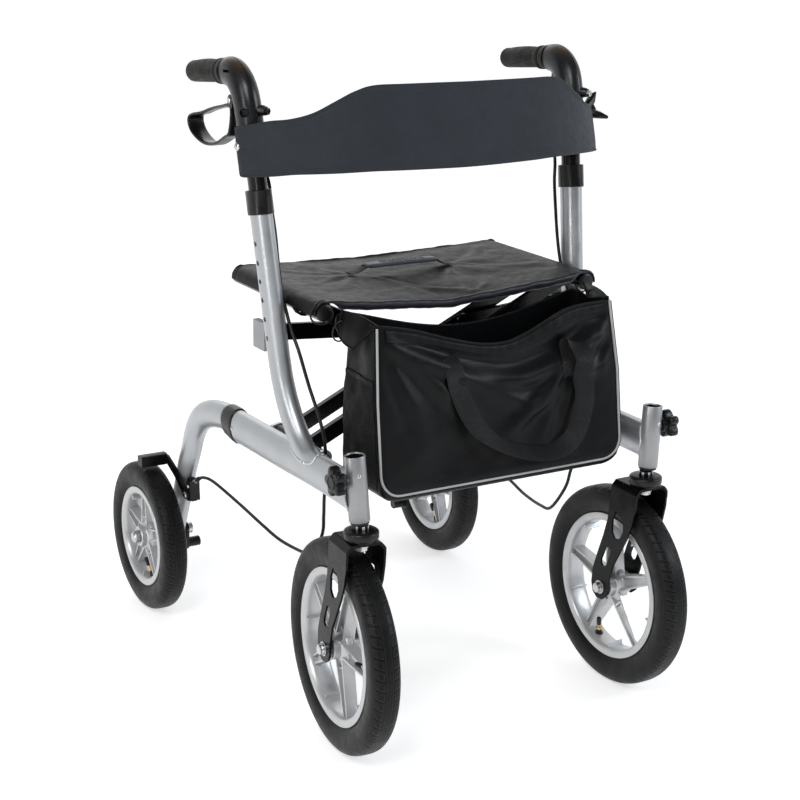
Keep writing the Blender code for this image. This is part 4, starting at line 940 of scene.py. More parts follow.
# rear leg
LEG = [(57.6, 388.0), (75.0, 387.3), (117.0, 379.5), (156.0, 364.0), (182.0, 344.0), (200.0, 321.0), (217.0, 291.0),
       (239.0, 256.0), (253.0, 228.0), (309.5, 123.0), (318.0, 107.0)]
leg_a = [15.5, 15.5, 15.5, 15.3, 15.0, 14.6, 14.2, 14.0, 14.0, 14.0, 14.0]
leg_b = [21.5] * 9 + [18.0, 16.0]
rows = resample([side_point(y, z) for y, z in LEG], [leg_a, leg_b], 70)
fr2 = frames([r[:3] for r in rows])
al, bl = [r[3] for r in rows], [r[4] for r in rows]
outer = [oval(p, N_SIDE, w, a, b, 44) for (p, w, t), a, b in zip(fr2, al, bl)]
# closed, pinched foot
p, w, t = fr2[-1]
for k_, s_ in ((2.0, 0.86), (3.4, 0.55), (3.9, 0.05)):
    outer.append(oval(p + t * k_, N_SIDE, w, al[-1] * s_, bl[-1] * s_, 44))
inner0 = [oval(p, N_SIDE, w, 13.5, 19.5, 44) for p, w, t in fr2[:3]]
leg = skin([inner0[2], inner0[1], inner0[0]] + outer)
put_pair("rear_leg_tube", leg, "silver_paint", "{}_frame", replaces=["rear_leg_{}"], slot="frame_silver", angle=50.0)

for side in ("left", "right"):
    dress("upright_collar_" + side, "moulded_black", 0.8)
    dress("leg_sleeve_" + side, "moulded_black", 0.8)
    dress("brake_anchor_" + side, "moulded_black", 0.8)
    dress("brake_arm_" + side, "fork_paint", 0.8)
    dress("tipping_pedal_" + side, "moulded_black", 1.0)
    dress("rear_axle_" + side, "zinc_steel", 0.4)
    dress("link_bracket_" + side, "holder_grey", 1.2)
    dress("fold_link_" + side, "gloss_black", 0.8)
    dress("handle_tube_" + side, "gloss_black", 0.3)
    dress("seat_rail_" + side, "gloss_black", 0.3)
    dress("snap_button_" + side, "zinc_steel", 0.8)
    dress("front_axle_" + side, "zinc_steel", 0.4)
    dress("caster_fork_" + side, "fork_paint", 0.7)
dress("cross_brace_a", "gloss_black", 1.0)
dress("cross_brace_b", "gloss_black", 1.0)
dress("cross_bolt", "zinc_steel", 0.5)
dress("side_knob_left", "knob_black", 1.0)

# moulded blades of the side knob, over the plain ones
blades = None
for k_ in range(3):
    q_ = radians(75.0 + 120.0 * k_)
    loops_ = []
    for x0, r_, t_ in ((296.0, 6.0, 6.5), (303.0, 17.0, 6.6), (309.0, 23.5, 5.8), (316.0, 27.5, 4.4), (321.5, 29.0, 2.4)):
        r0 = 4.0 if x0 < 312.0 else 4.0 + 2.4 * (x0 - 312.0)
        at_ = [(r0, -t_), (r0 + 0.6 * (r_ - r0), -t_), (r_, -0.35 * t_), (r_, 0.35 * t_), (r0 + 0.6 * (r_ - r0), t_), (r0, t_)]
        loops_.append([(x0, -66.0 + a_ * cos(q_) - b_ * sin(q_), 833.0 + a_ * sin(q_) + b_ * cos(q_)) for a_, b_ in at_])
    one_ = skin(loops_)
    blades = one_ if blades is None else blades + one_
put("side_knob_blades", blades, "knob_black", "side_knob", bevel=0.9, angle=40.0)

# ribs of the tipping pedal, bolt of the brake anchor
ped = None
for k_ in range(5):
    x0 = 189.6 + 4.0 * k_
    r_ = round_loop([(x0, 309.0 + 8.05 * cos(2 * pi * j / 32), 97.0 + 8.05 * sin(2 * pi * j / 32)) for j in range(32)], 0.55, 8)
    ped = r_ if ped is None else ped + r_
put_pair("pedal_ribs", ped, "moulded_black", "{}_frame", slot="black_plastic")
rivet_pair("anchor_screw", [((249.4, 207.5, 233.5), (1, 0, 0))], "{}_frame", 3.0, 1.4)
adj = turned((239.6, 199.6, 244.3), (0, -0.72, 0.55), [(-1.0, 4.6), (0.4, 4.6), (0.6, 3.4), (2.0, 3.4), (2.4, 2.9), (4.6, 2.9)], 20)
put_pair("cable_adjuster", adj, "zinc_steel", "{}_frame", slot="steel")
# heads of the brake arm's pivot
pv = turned((254.4, 207.0, 221.0), (1, 0, 0), [(0.0, 5.2), (1.2, 5.2), (2.0, 4.2), (2.3, 0.1)], 24)
put_pair("arm_pivot_head", pv, "zinc_steel", "{}_frame", slot="steel")

# rubber lining of the brake shoe
sh = prism([(283.0, 251.6), (297.0, 251.6), (297.0, 249.4), (283.0, 249.4)], "x", 254.0, 295.0)
put_pair("shoe_lining", sh, "moulded_black", "arm_{}", bevel=0.8, slot="black_plastic")

# end plugs of the seat rails
pl = turned((217.0, -197.0, 603.0), (0, -1, 0), [(-9.0, 10.2), (0.05, 10.2), (0.05, 12.3), (1.3, 12.0), (2.2, 10.6), (2.6, 6.0), (2.6, 0.1)], 32) + \
    turned((217.0, 72.0, 603.0), (0, 1, 0), [(-9.0, 10.2), (0.05, 10.2), (0.05, 12.3), (1.3, 12.0), (2.2, 10.6), (2.6, 6.0), (2.6, 0.1)], 32)
put_pair("rail_plug", pl, "moulded_black", "rail_{}", slot="black_plastic")

# star knobs of the caster housings: six lobes on a flanged stud
KY_, KZ_ = -335.5, 414.0


def star_loop(x, scale, depth):
    out = []
    for i in range(96):
        q = 2 * pi * i / 96
        lobe = (0.5 + 0.5 * cos(5 * q)) ** 0.70
        r_ = (21.4 - depth * (1 - lobe)) * scale
        out.append((x, KY_ + r_ * cos(q), KZ_ + r_ * sin(q)))
    return out


kn = skin([star_loop(266.2, 0.80, 6.4), star_loop(267.0, 0.92, 7.2), star_loop(268.6, 0.985, 8.2), star_loop(270.5, 1.0, 8.6),
           star_loop(276.5, 1.0, 8.6), star_loop(278.6, 0.975, 8.2), star_loop(279.8, 0.90, 7.2), star_loop(280.3, 0.78, 6.0)])
kn = kn + turned((259.8, KY_, KZ_), (1, 0, 0), [(0.0, 8.6), (1.0, 9.2), (6.6, 10.6)], 32)
kn = kn + turned((280.0, KY_, KZ_), (1, 0, 0), [(-0.5, 11.2), (0.8, 11.0), (1.8, 9.6), (1.8, 7.6), (1.0, 7.2), (1.0, 0.1)], 32)
put_pair("star_grip", kn, "knob_black", "knob_{}", replaces=["star_knob_{}"], slot="black_plastic", angle=60.0)
put_pair("star_stud", cyl((246.0, KY_, KZ_), (262.0, KY_, KZ_), 3.9, 20), "zinc_steel", "knob_{}", slot="steel")


# ================================================================ wheels
def wheel_frame(cx, cy, cz, yaw):
    return Matrix.Translation((cx, cy, cz)) @ Matrix.Rotation(radians(yaw), 4, "Z")


def tyre_profile(w, rim_r, radius):
    """Half section from the crown to the bead, (x, r)."""
    pts = [(0.0, radius), (0.20 * w, radius - 0.05), (0.37 * w, radius - 0.25), (0.60 * w, radius - 1.5), (0.78 * w, radius - 4.2),
           (0.90 * w, radius - 8.4), (0.97 * w, radius - 13.5), (0.995 * w, rim_r + 21.0), (0.96 * w, rim_r + 13.5),
           (0.86 * w, rim_r + 7.0), (0.74 * w, rim_r + 2.4), (0.64 * w, rim_r - 1.0), (0.53 * w, rim_r - 3.6)]
    return catmull(pts, 4)


def tyre_mesh(name, w, rim_r, radius, n=128):
    half = tyre_profile(w, rim_r, radius)
    run = [0.0]
    for a, b in zip(half, half[1:]):
        run.append(run[-1] + float(np.linalg.norm(b - a)))
    prof = [(x, r, t) for (x, r), t in zip(half, run)]
    prof = [(-x, r, -t) for x, r, t in reversed(prof[1:])] + prof
    out = []
    for x, r, t in prof:
        out.append((x, r, t))
    loops = []
    for i in range(n):
        a = 2 * pi * i / n
        loops.append([(x, r * cos(a), r * sin(a)) for x, r, t in out])
    m = len(out)
    v = [p for lp in loops for p in lp]
    f, st = [], []
    for i in range(n):
        j = (i + 1) % n
        for k_ in range(m):
            l = (k_ + 1) % m
            if k_ == m - 1:      # inner face behind the beads
                f.append((i * m + k_, i * m + l, j * m + l, j * m + k_))
                st.append([(i, out[k_][2]), (i, out[k_][2]), (i + 1, out[k_][2]), (i + 1, out[k_][2])])
                continue
            f.append((i * m + k_, i * m + l, j * m + l, j * m + k_))
            st.append([(i, out[k_][2]), (i, out[l][2]), (i + 1, out[l][2]), (i + 1, out[k_][2])])
    me = bpy.data.meshes.new(name)
    me.from_pydata([(x * S, y * S, z * S) for x, y, z in v], [], f)
    at = me.attributes.new("wv", "FLOAT_VECTOR", "CORNER")
    arc = 2 * pi * radius * S / n
    flat = []
    for row in st:
        for i, t in row:
            flat += [i * arc, t * S, 0.0]
    at.data.foreach_set("vector", flat)
    me.polygons.foreach_set("use_smooth", [True] * len(me.polygons))
    me.update()
    bm = bmesh.new()
    bm.from_mesh(me)
    bmesh.ops.recalc_face_normals(bm, faces=bm.faces)
    bm.to_mesh(me)
    bm.free()
    return me


def ring_x(prof, n=96):
    """Closed section (x, r) turned round the X axis."""
    loops = []
    for i in range(n):
        a = 2 * pi * i / n
        loops.append([(x, r * cos(a), r * sin(a)) for x, r in prof])
    return skin(loops, closed=True)


def plate(poly, x0, x1):
    return prism(poly, "x", x0, x1)


def rim_body(w, R, turn, hub_half):
    """Moulded rim: flanged ring, five double-ribbed spokes, webs and a flanged hub."""
    half = [(0.53 * w, R - 4.1), (0.68 * w, R - 0.2), (0.745 * w, R + 0.2), (0.785 * w, R - 0.3), (0.79 * w, R - 1.2),
            (0.79 * w, R - 8.6), (0.775 * w, R - 9.3), (0.745 * w, R - 9.6), (0.735 * w, R - 10.6), (0.66 * w, R - 11.8),
            (0.45 * w, R - 12.6), (0.18 * w, R - 13.2)]
    ring = ring_x([(0.3 * w, R - 8.0)] + half + [(-x, r) for x, r in reversed(half)] + [(-0.3 * w, R - 8.0)], 112)
    body = ring
    for j in range(5):
        q = 2 * pi * j / 5 + pi / 2 + radians(turn)
        c, s = cos(q), sin(q)

        def at(r, t):
            return (r * c - t * s, r * s + t * c)
        r0, r1 = 15.0, R - 11.0
        a0, a1 = 12.5, 6.6
        for sg in (1, -1):
            body = body + plate([at(r0, sg * a0), at(r1, sg * a1), at(r1 + 1.5, sg * (a1 + 2.2)), at(r1 + 1.5, sg * (a1 - 2.9)),
                                 at(r0, sg * (a0 - 3.4))][::1], -0.42 * w, 0.42 * w)
        body = body + plate([at(r0, -a0 + 1), at(r0, a0 - 1), at(r1 + 1, a1 - 1), at(r1 + 1, -a1 + 1)], -0.14 * w, 0.14 * w)
        # cross piece near the root of each spoke
        body = body + plate([at(30.0, -9.6), at(30.0, 9.6), at(32.4, 9.4), at(32.4, -9.4)], -0.30 * w, 0.30 * w)
        q2 = q + pi / 5
        c, s = cos(q2), sin(q2)
        body = body + plate([at(R - 20.0, -0.9), at(R - 20.0, 0.9), at(R - 10.5, 1.2), at(R - 10.5, -1.2)], -0.60 * w, 0.60 * w)
    h = hub_half
    hub = turned((0, 0, 0), (1, 0, 0), [(-h, 12.6), (-h, 15.8), (-h + 1.2, 17.0), (-10.5, 17.6), (-7.0, 21.0), (-5.0, 26.5),
                                        (-3.6, 27.5), (3.6, 27.5), (5.0, 26.5), (7.0, 21.0), (10.5, 17.6), (h - 1.2, 17.0),
                                        (h, 15.8), (h, 12.6), (h - 1.8, 12.2), (h - 1.8, 6.5), (-h + 1.8, 6.5), (-h + 1.8, 12.2)],
                 56, closed=True)
    return body + hub


def bearing(h):
    out = None
    for sg in (1, -1):
        b = ring_x([(sg * (h - 1.7), 6.6), (sg * (h - 1.7), 8.4), (sg * (h - 0.7), 8.4), (sg * (h - 0.7), 6.6)], 40)
        b = b + ring_x([(sg * (h - 1.7), 10.4), (sg * (h - 1.7), 12.1), (sg * (h - 0.7), 12.1), (sg * (h - 0.7), 10.4)], 40)
        out = b if out is None else out + b
    return out


def seal(h):
    out = None
    for sg in (1, -1):
        b = ring_x([(sg * (h - 1.8), 8.3), (sg * (h - 1.8), 10.5), (sg * (h - 1.1), 10.5), (sg * (h - 1.1), 8.3)], 40)
        out = b if out is None else out + b
    return out


def valve(R, ang, side, lean=0.35):
    """Rubber valve through the well of the rim, bent outwards, with a brass stem and a black cap."""
    q = radians(ang)
    d = np.array([0.0, cos(q), sin(q)])
    base = d * (R - 12.4)
    dirn = unit(-d + np.array([side * lean, 0, 0]))
    foot = turned(base + d * 1.0, dirn, [(0.0, 6.4), (3.0, 6.0), (5.0, 4.6), (9.0, 4.0), (11.0, 3.4)], 24)
    stem = turned(base + dirn * 9.6, dirn, [(0.0, 2.7), (1.0, 2.7), (9.0, 2.7), (9.6, 2.5), (15.0, 2.5)], 20)
    nut = turned(base + dirn * 10.6, dirn, [(0.0, 4.3), (0.6, 4.6), (3.0, 4.6), (3.6, 4.3)], 6)
    cap = turned(base + dirn * 20.5, dirn, [(0.0, 3.4), (1.0, 3.9), (11.0, 3.7), (13.5, 3.2), (14.5, 2.2), (14.7, 0.1)], 20)
    return foot + cap, stem + nut


WHEELS = []
for side, sx, yaw in (("left", 1, 0.6), ("right", -1, -4.5)):
    wx = sx * 236.0 - 57.0 * sin(radians(yaw))
    wy = -338.0 + 57.0 * cos(radians(yaw))
    WHEELS.append(("front", side, wheel_frame(wx, wy, 152.0, yaw), 21.5, 111.6, 152.0, 20.5))
    WHEELS.append(("rear", side, wheel_frame(sx * 276.75, 309.0, 123.2, 0.0), 20.5, 82.6, 123.2, 19.0))

TURN = {("front", "left"): -5.0, ("front", "right"): 20.0, ("rear", "right"): 0.0, ("rear", "left"): 14.0}
VALVE = {("front", "left"): 289.0, ("front", "right"): 178.0, ("rear", "right"): 258.0, ("rear", "left"): 262.0}
for end, side, mat4, w_, R_, rad_, hh in WHEELS:
    on = end + "_wheel_" + side
    name = end + "_" + side
    me = tyre_mesh("tyre_" + name, w_, R_, rad_)
    me.transform(Matrix.Scale(S, 4) @ mat4 @ Matrix.Scale(1 / S, 4))
    put("tyre_tread_" + name, me, "tyre_" + end, on, replaces=[end + "_tyre_" + side], slot="tyre_black")
    sx = 1 if side == "left" else -1
    tn = TURN[(end, side)]
    put("rim_cast_" + name, rim_body(w_, R_, tn, hh).moved(mat4), "rim_lacquer", on, bevel=0.45, angle=30.0,
        replaces=[end + "_rim_" + side], slot="rim_silver")
    put("bearing_" + name, bearing(hh).moved(mat4), "zinc_steel", on, slot="steel")
    put("bearing_seal_" + name, seal(hh).moved(mat4), "moulded_black", on, slot="black_plastic")
    outward = -1 if side == "right" else (1 if end == "front" else -1)
    if end == "front" and side == "left":
        outward = -1
    dark, bright = valve(R_, VALVE[(end, side)], outward * 0.9)
    put("valve_cap_" + name, dark.moved(mat4), "moulded_black", on, slot="black_plastic", angle=40.0)
    put("valve_stem_" + name, bright.moved(mat4), "brass", on, slot="steel", angle=40.0)

# ================================================================ casters
for side, sx, yaw in (("left", 1, 0.6), ("right", -1, -4.5)):
    m4 = Matrix.Translation((sx * 236.0, -338.0, 0)) @ Matrix.Rotation(radians(yaw), 4, "Z")
    on = "caster_" + side
    cup = turned((0, 0, 0), (0, 0, 1), [(327.5, 17.0), (327.6, 19.4), (328.4, 20.2), (330.4, 20.4), (330.8, 22.4), (331.6, 23.5),
                                        (333.0, 23.9), (339.4, 23.9), (340.8, 23.4), (341.8, 22.2), (342.6, 20.4), (342.9, 16.0),
                                        (342.6, 12.0), (343.1, 9.0)], 64)
    put("bearing_cup_" + side, cup.moved(m4), "moulded_black", on, slot="fork_black", angle=50.0)
    nut = turned((0, 0, 0), (0, 0, 1), [(342.9, 8.8), (343.3, 10.2), (348.9, 10.2), (349.6, 9.0)], 6, 0.4)
    put("stem_nut_" + side, nut.moved(m4), "zinc_steel", on, bevel=0.4, slot="steel")
    low = turned((0, 0, 0), (0, 0, 1), [(323.7, 10.5), (318.6, 10.5), (318.2, 9.0), (313.6, 8.8), (312.8, 7.6), (312.8, 0.1)], 6, 0.2)
    low = low + turned((0, 0, 0), (0, 0, 1), [(323.7, 13.0), (321.6, 13.0), (321.5, 8.0)], 32)
    put("crown_nut_" + side, low.moved(m4), "zinc_steel", on, bevel=0.4, slot="steel")
    # domed caps of the axle bolt and thin washers outside the legs
    dome = None
    for sg in (1, -1):
        wash = turned((sg * 29.3, 57.0, 152.0), (sg, 0, 0), [(0.0, 10.2), (1.1, 10.2), (1.3, 9.8), (1.3, 7.0)], 36)
        d_ = turned((sg * 30.4, 57.0, 152.0), (sg, 0, 0), [(0.0, 8.4), (1.2, 8.4), (3.6, 7.6), (6.0, 5.8), (7.2, 3.2), (7.3, 0.1)], 36)
        dome = wash + d_ if dome is None else dome + wash + d_
    put("axle_caps_" + side, dome.moved(m4), "zinc_steel", on, slot="steel", angle=50.0)
# bush under the housing
ring_low = turned(h0, hd, [(11.6, 7.6), (11.6, 12.4), (12.2, 12.9), (15.4, 12.9), (15.4, 7.6)], 48, closed=True)
put_pair("housing_bush_low", ring_low, "moulded_black", "{}_frame", slot="black_plastic")


# ================================================================ handles
def oval_ring(p, u, w, a, b, dips=(), n=56, sink=0.55):
    """Oval with a narrow groove at the given angles (degrees)."""
    qs = [360.0 * i / n for i in range(n)]
    for d in dips:
        qs = [q for q in qs if abs((q - d + 180) % 360 - 180) > 3.0]
        qs += [(d - 1.9) % 360, (d - 1.0) % 360, (d + 1.0) % 360, (d + 1.9) % 360]
    qs = sorted(qs)
    out = []
    for q in qs:
        r = 1.0
        for d in dips:
            if abs((q - d + 180) % 360 - 180) < 1.3:
                r -= sink / a
        out.append(p + u * (a * r * cos(radians(q))) + w * (b * r * sin(radians(q))))
    return out


EL = [(-78.8, 800.4), (-75.5, 818.0), (-70.5, 850.0), (-66.0, 871.0), (-58.0, 889.5), (-45.0, 902.5), (-29.0, 909.2),
      (-12.6, 910.3)]
EL_A = [17.0, 17.9, 18.0, 18.0, 18.0, 17.8, 17.4, 16.6]
EL_B = [21.0, 22.0, 22.5, 22.8, 23.0, 22.5, 21.8, 20.0]
G0, G1 = np.array([268.8, -12.0, 910.2]), np.array([268.2, 110.0, 898.8])
GD = unit(G1 - G0)
rows = resample([side_point(y, z) for y, z in EL], [EL_A, EL_B], 64)
fe = frames([r[:3] for r in rows])
DIPS = (90.0, 270.0)
outer = []
p, w, t = fe[0]
HTA, HTB = 12.9, 18.0
sock = [oval_ring(side_point(up_y(z), z), N_SIDE, fe[0][1], HTA, HTB, DIPS, sink=0.0) for z in (850.0, 802.0)]
outer.append(oval_ring(p, N_SIDE, w, HTA, HTB, DIPS, sink=0.0))
outer.append(oval_ring(p, N_SIDE, w, rows[0][3] - 1.4, rows[0][4] - 1.4, DIPS, sink=0.2))
outer.append(oval_ring(p + t * 0.5, N_SIDE, w, rows[0][3] - 0.35, rows[0][4] - 0.35, DIPS))
for (p, w, t), r in list(zip(fe, rows))[1:]:
    outer.append(oval_ring(p, N_SIDE, w, r[3], r[4], DIPS))
p, w, t = fe[-1]
sb_ = np.cross(N_SIDE, GD)
outer.append(oval_ring(p + GD * 0.35, N_SIDE, w, 15.9, 19.2, DIPS, sink=0.2))
outer.append(oval_ring(G0, N_SIDE, sb_, 15.0, 17.6, DIPS, sink=0.0))
outer.append(oval_ring(G0, N_SIDE, sb_, 11.4, 11.4, DIPS, sink=0.0))
outer.append(oval_ring(G0 + GD * 112.0, N_SIDE, sb_, 11.4, 11.4, DIPS, sink=0.0))
casing = skin(sock + outer)


def casing_face(y, z, lift=0.0):
    return side_point(y, z, 18.0 + lift)


OUT = unit(N_SIDE * 0.62 + np.array([0.0, -0.78, 0.0]))
RC = side_point(-67.5, 862.5)
cutter = cyl(RC + OUT * 15.2, RC + OUT * 30.0, 5.9, 28)
cutter = cutter + prism([(-47.0, 911.8), (-30.0, 911.2), (-30.0, 914.8), (-47.0, 915.4)], "x", 281.0, 296.0)
casing = boolean(casing, cutter)
put_pair("handle_casing", casing, "casing_black", "handle_{}", replaces=["handle_elbow_{}"], slot="black_plastic", angle=44.0)

# screws sunk in the casing, front bolt with its nut
p = RC + OUT * 15.1
scr = turned(p, OUT, [(-0.6, 4.7), (1.3, 4.7), (2.0, 4.1), (2.0, 2.5), (0.7, 2.4), (0.7, 0.1)], 28)
put_pair("casing_screw", scr, "knob_black", "handle_{}", slot="black_plastic")
lip = turned(RC + OUT * 17.0, OUT, [(0.0, 6.0), (3.4, 6.2), (4.3, 6.9), (4.0, 7.6), (0.0, 8.0)], 36, closed=True)
put_pair("screw_lip", lip, "casing_black", "handle_{}", slot="black_plastic", angle=50.0)
for side, sx in (("left", 1), ("right", -1)):
    b0 = side_point(-72.0, 867.0)
    b0 = np.array([sx * b0[0], b0[1], b0[2]])
    fd = unit([0.50, -0.86, -0.10])
    f0 = b0 + fd * 15.0
    boss = turned(f0, fd, [(0.0, 7.4), (8.0, 7.2), (10.6, 6.3), (12.0, 6.2), (12.3, 5.6), (12.3, 3.0)], 36)
    put("tension_boss_" + side, boss, "casing_black", "handle_" + side, slot="black_plastic", angle=40.0)
    tip = turned(f0 + fd * 11.8, fd, [(-1.0, 4.2), (0.2, 4.2), (0.2, 5.3), (4.4, 5.3), (5.2, 4.5), (5.2, 2.4), (3.6, 2.2), (3.6, 0.1)], 6)
    put("tension_screw_" + side, tip, "knob_black" if side == "right" else "zinc_steel", "handle_" + side, bevel=0.4, slot="steel")

# dark ring that closes the joint between casing and grip
ring_ = turned(G0, GD, [(0.45, 15.6), (0.45, 17.9), (1.4, 18.9), (3.4, 18.9), (4.4, 18.1), (4.4, 15.6)], 44, closed=True)
put_pair("casing_ring", ring_, "moulded_black", "handle_{}", slot="black_plastic", angle=50.0)

# lug that holds the lever, pin with its heads
py, pz, LX = -32.0, 873.0, 267.0
arc = [(py + 5.2 * cos(radians(q)), pz + 5.2 * sin(radians(q))) for q in range(180, 361, 15)]
lug = prism([(py - 5.2, 897.0)] + arc + [(py + 5.2, 897.0)], "x", LX - 6.4, LX + 6.4)
put_pair("lever_lug", lug, "casing_black", "handle_{}", bevel=0.8, slot="black_plastic")
pin = turned((LX - 12.4, py, pz), (1, 0, 0), [(0.0, 3.6), (0.5, 4.2), (1.4, 4.2), (1.4, 2.4), (23.4, 2.4), (23.4, 4.2), (24.3, 4.2),
                                              (24.8, 3.6)], 24)
put_pair("lever_pin", pin, "zinc_steel", "handle_{}", slot="steel", angle=40.0)

# grips: flanged sleeve with two rings, a body that swells below, end cap
def grip_section(s, r, swell=0.0):
    c = G0 - GD * 4.0 + GD * s
    out = []
    for i in range(64):
        q = 2 * pi * i / 64
        down = max(0.0, -sin(q))
        rr = r + swell * down ** 1.5
        out.append(c + N_SIDE * (rr * cos(q)) + sb_ * (-rr * sin(q)) * (-1.0 if sb_[2] > 0 else 1.0) * -1.0)
    return out


prof = [(5.4, 12.2, 0), (5.4, 16.0, 0), (5.9, 16.5, 0), (8.6, 17.7, 0), (9.4, 18.0, 0), (15.4, 18.0, 0), (16.0, 17.6, 0),
        (16.2, 16.4, 0), (18.4, 16.4, 0), (18.6, 17.6, 0), (19.2, 18.0, 0), (26.4, 18.0, 0), (27.6, 17.6, 0), (28.4, 16.6, 0),
        (29.4, 15.7, 0), (31.0, 15.3, 0.0)]
for i in range(1, 23):
    s = 31.0 + i * 3.9
    prof.append((s, 15.3 + 0.1 * sin(pi * i / 22), 1.9 * sin(pi * min(1.0, i / 20.0)) ** 0.8))
prof += [(119.0, 15.2, 0.1), (121.4, 14.4, 0), (122.7, 13.0, 0), (123.0, 11.4, 0), (122.4, 9.0, 0), (121.9, 6.2, 0),
         (116.8, 6.1, 0), (116.8, 12.1, 0)]
gloops = [grip_section(s, r, sw) for s, r, sw in prof]
gw, run = [], 0.0
for (s, r, sw) in prof:
    gw += [(15.4 * 2 * pi * i / 64 * S, s * S, 0.0) for i in range(64)]
gbody = skin(gloops, closed=True, wv=gw)
put_pair("grip_sleeve", gbody, "grip_rubber", "handle_{}", replaces=["grip_{}"], slot="grip_rubber", angle=38.0)
# short raised dashes on the outer and inner face of the grip, moulding line below
dash = None
for k_ in range(6):
    s = 37.0 + 6.4 * k_
    for side_q in (0.0, pi):
        pts = []
        for j in range(7):
            q = side_q + (-0.34 + 0.68 * j / 6)
            c = G0 - GD * 4.0 + GD * (s + 1.2 * sin(pi * j / 6))
            pts.append(c + N_SIDE * (15.25 * cos(q)) + sb_ * (15.25 * sin(q)))
        rod = round_rod(pts, [0.2, 0.75, 0.9, 0.95, 0.9, 0.75, 0.2], 8)
        dash = rod if dash is None else dash + rod
line = None
for side_q in (0.0, pi):
    pts = []
    for j in range(40):
        u_ = j / 39.0
        c = G0 - GD * 4.0 + GD * (31.0 + 88.5 * u_)
        a_ = 0.15 + 0.85 * u_
        lo = -1.0 if sb_[2] > 0 else 1.0
        q = a_ if side_q == 0.0 else pi - a_
        rr = 15.32 + 1.9 * sin(pi * min(1.0, (u_ * 22.7) / 20.0)) ** 0.8 * max(0.0, sin(a_) * 0.9) ** 1.5 if u_ * 22.7 < 20 else 15.3
        pts.append(c + N_SIDE * (rr * cos(q)) + sb_ * (rr * sin(q) * lo))
    rod = round_rod(pts, 0.42, 6)
    line = rod if line is None else line + rod
put_pair("grip_dashes", dash, "moulded_black", "handle_{}", slot="grip_rubber", angle=60.0)
put_pair("grip_line", line, "hole_dark", "handle_{}", slot="grip_rubber", angle=60.0)
endp = G0 + GD * 113.4
screw = turned(endp, GD, [(-2.0, 5.6), (3.4, 5.6), (4.2, 5.0), (4.6, 3.4), (4.0, 2.6), (3.2, 0.1)], 28)
put_pair("grip_end_screw", screw, "brass", "handle_{}", slot="steel", angle=40.0)

# brake lever: moulded loop, wider behind, ears on the pin
LOOP = [(-31.0, 864.0), (8.0, 860.0), (43.0, 852.5), (73.0, 844.0), (98.0, 839.0), (108.0, 833.5),
        (107.5, 824.0), (96.0, 813.5), (73.0, 805.0), (50.0, 802.4), (23.0, 806.8), (-7.0, 819.0), (-26.0, 829.5)]
HALF_W = [10.6, 8.6, 8.2, 9.0, 11.6, 12.6, 12.9, 12.8, 12.0, 10.6, 9.6, 9.8, 10.6]
cl = catmull([(y, z, hw) for (y, z), hw in zip(LOOP, HALF_W)], 9, closed=True)
m_ = len(cl)
loops = []
for i in range(m_):
    y, z, hw = cl[i]
    ty, tz = cl[(i + 1) % m_][0] - cl[i - 1][0], cl[(i + 1) % m_][1] - cl[i - 1][1]
    l_ = sqrt(ty * ty + tz * tz)
    ny, nz = -tz / l_, ty / l_
    sec = []
    for k_ in range(20):
        q = 2 * pi * k_ / 20
        cx_, cy_ = cos(q), sin(q)
        e = 0.42
        sx_ = (abs(cx_) ** e) * (1 if cx_ >= 0 else -1)
        sy_ = (abs(cy_) ** 0.8) * (1 if cy_ >= 0 else -1)
        th = 2.25 + 0.35 * (abs(sx_) ** 4)
        sec.append((LX + hw * sx_, y + ny * th * sy_, z + nz * th * sy_))
    loops.append(sec)
ring = skin(loops, closed=True)
ear = [(py + 7.8 * cos(radians(q)), pz + 7.8 * sin(radians(q))) for q in range(-10, 191, 10)]
ear += [(py - 7.3, 863.2), (py + 8.4, 862.2)]
ears = prism(ear, "x", LX + 6.9, LX + 10.7) + prism(ear, "x", LX - 10.7, LX - 6.9)
put_pair("lever_ring", ring, "moulded_black", "lever_{}", replaces=["brake_lever_{}"], slot="black_plastic", angle=60.0)
put_pair("lever_ears", ears, "moulded_black", "lever_{}", bevel=0.8, slot="black_plastic")

# brake cables with their end sleeves
ROUTE = [(250, -35, 845), (246.5, -52, 806), (240, -74, 766), (238, -78, 733), (236, -86, 696), (235.5, -95, 650),
         (235.6, -106, 612), (235.6, -119, 590), (235, -133, 566), (233, -152, 540), (228, -171, 497), (224, -190, 462),
         (222, -204, 432), (220.5, -209, 392), (216, -195, 338), (212.5, -187, 308), (210, -178, 277), (208, -146, 235),
         (210, -115, 228), (217, -59, 228), (222, -8, 236), (226, 64, 247), (233, 140, 259), (237, 172, 258),
         (239.3, 196.6, 247)]
croute = catmull(ROUTE, 9)
cable_me = round_rod(croute, 2.45, 16)
for side, b_ in (("left", cable_me), ("right", cable_me.mirror())):
    ob = put("cable_smooth_" + side, b_, "cable_jacket", None, angle=80.0, replaces=["brake_cable_" + side], slot="black_plastic")
    side + "_frame"
    "handle_" + side
    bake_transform(ob)
c0, c1 = np.array(croute[0]), np.array(croute[6])
sl = turned(c0 - unit(c1 - c0) * 0.4, c1 - c0, [(0.0, 3.0), (0.6, 3.5), (11.0, 3.5), (13.0, 2.9)], 20)
put_pair("cable_top_sleeve", sl, "moulded_black", "handle_{}", slot="black_plastic")
c0, c1 = np.array(croute[-1]), np.array(croute[-7])
sl = turned(c0 - unit(c1 - c0) * 0.2, c1 - c0, [(0.0, 3.2), (0.5, 3.6), (10.5, 3.6), (12.0, 2.9)], 20)
put_pair("cable_end_sleeve", sl, "moulded_black", "{}_frame", slot="black_plastic")
CABLE_LEN = length(croute)


# ================================================================ soft goods
def ease(x, a, b):
    t = min(1.0, max(0.0, (x - a) / (b - a)))
    return t * t * (3 - 2 * t)


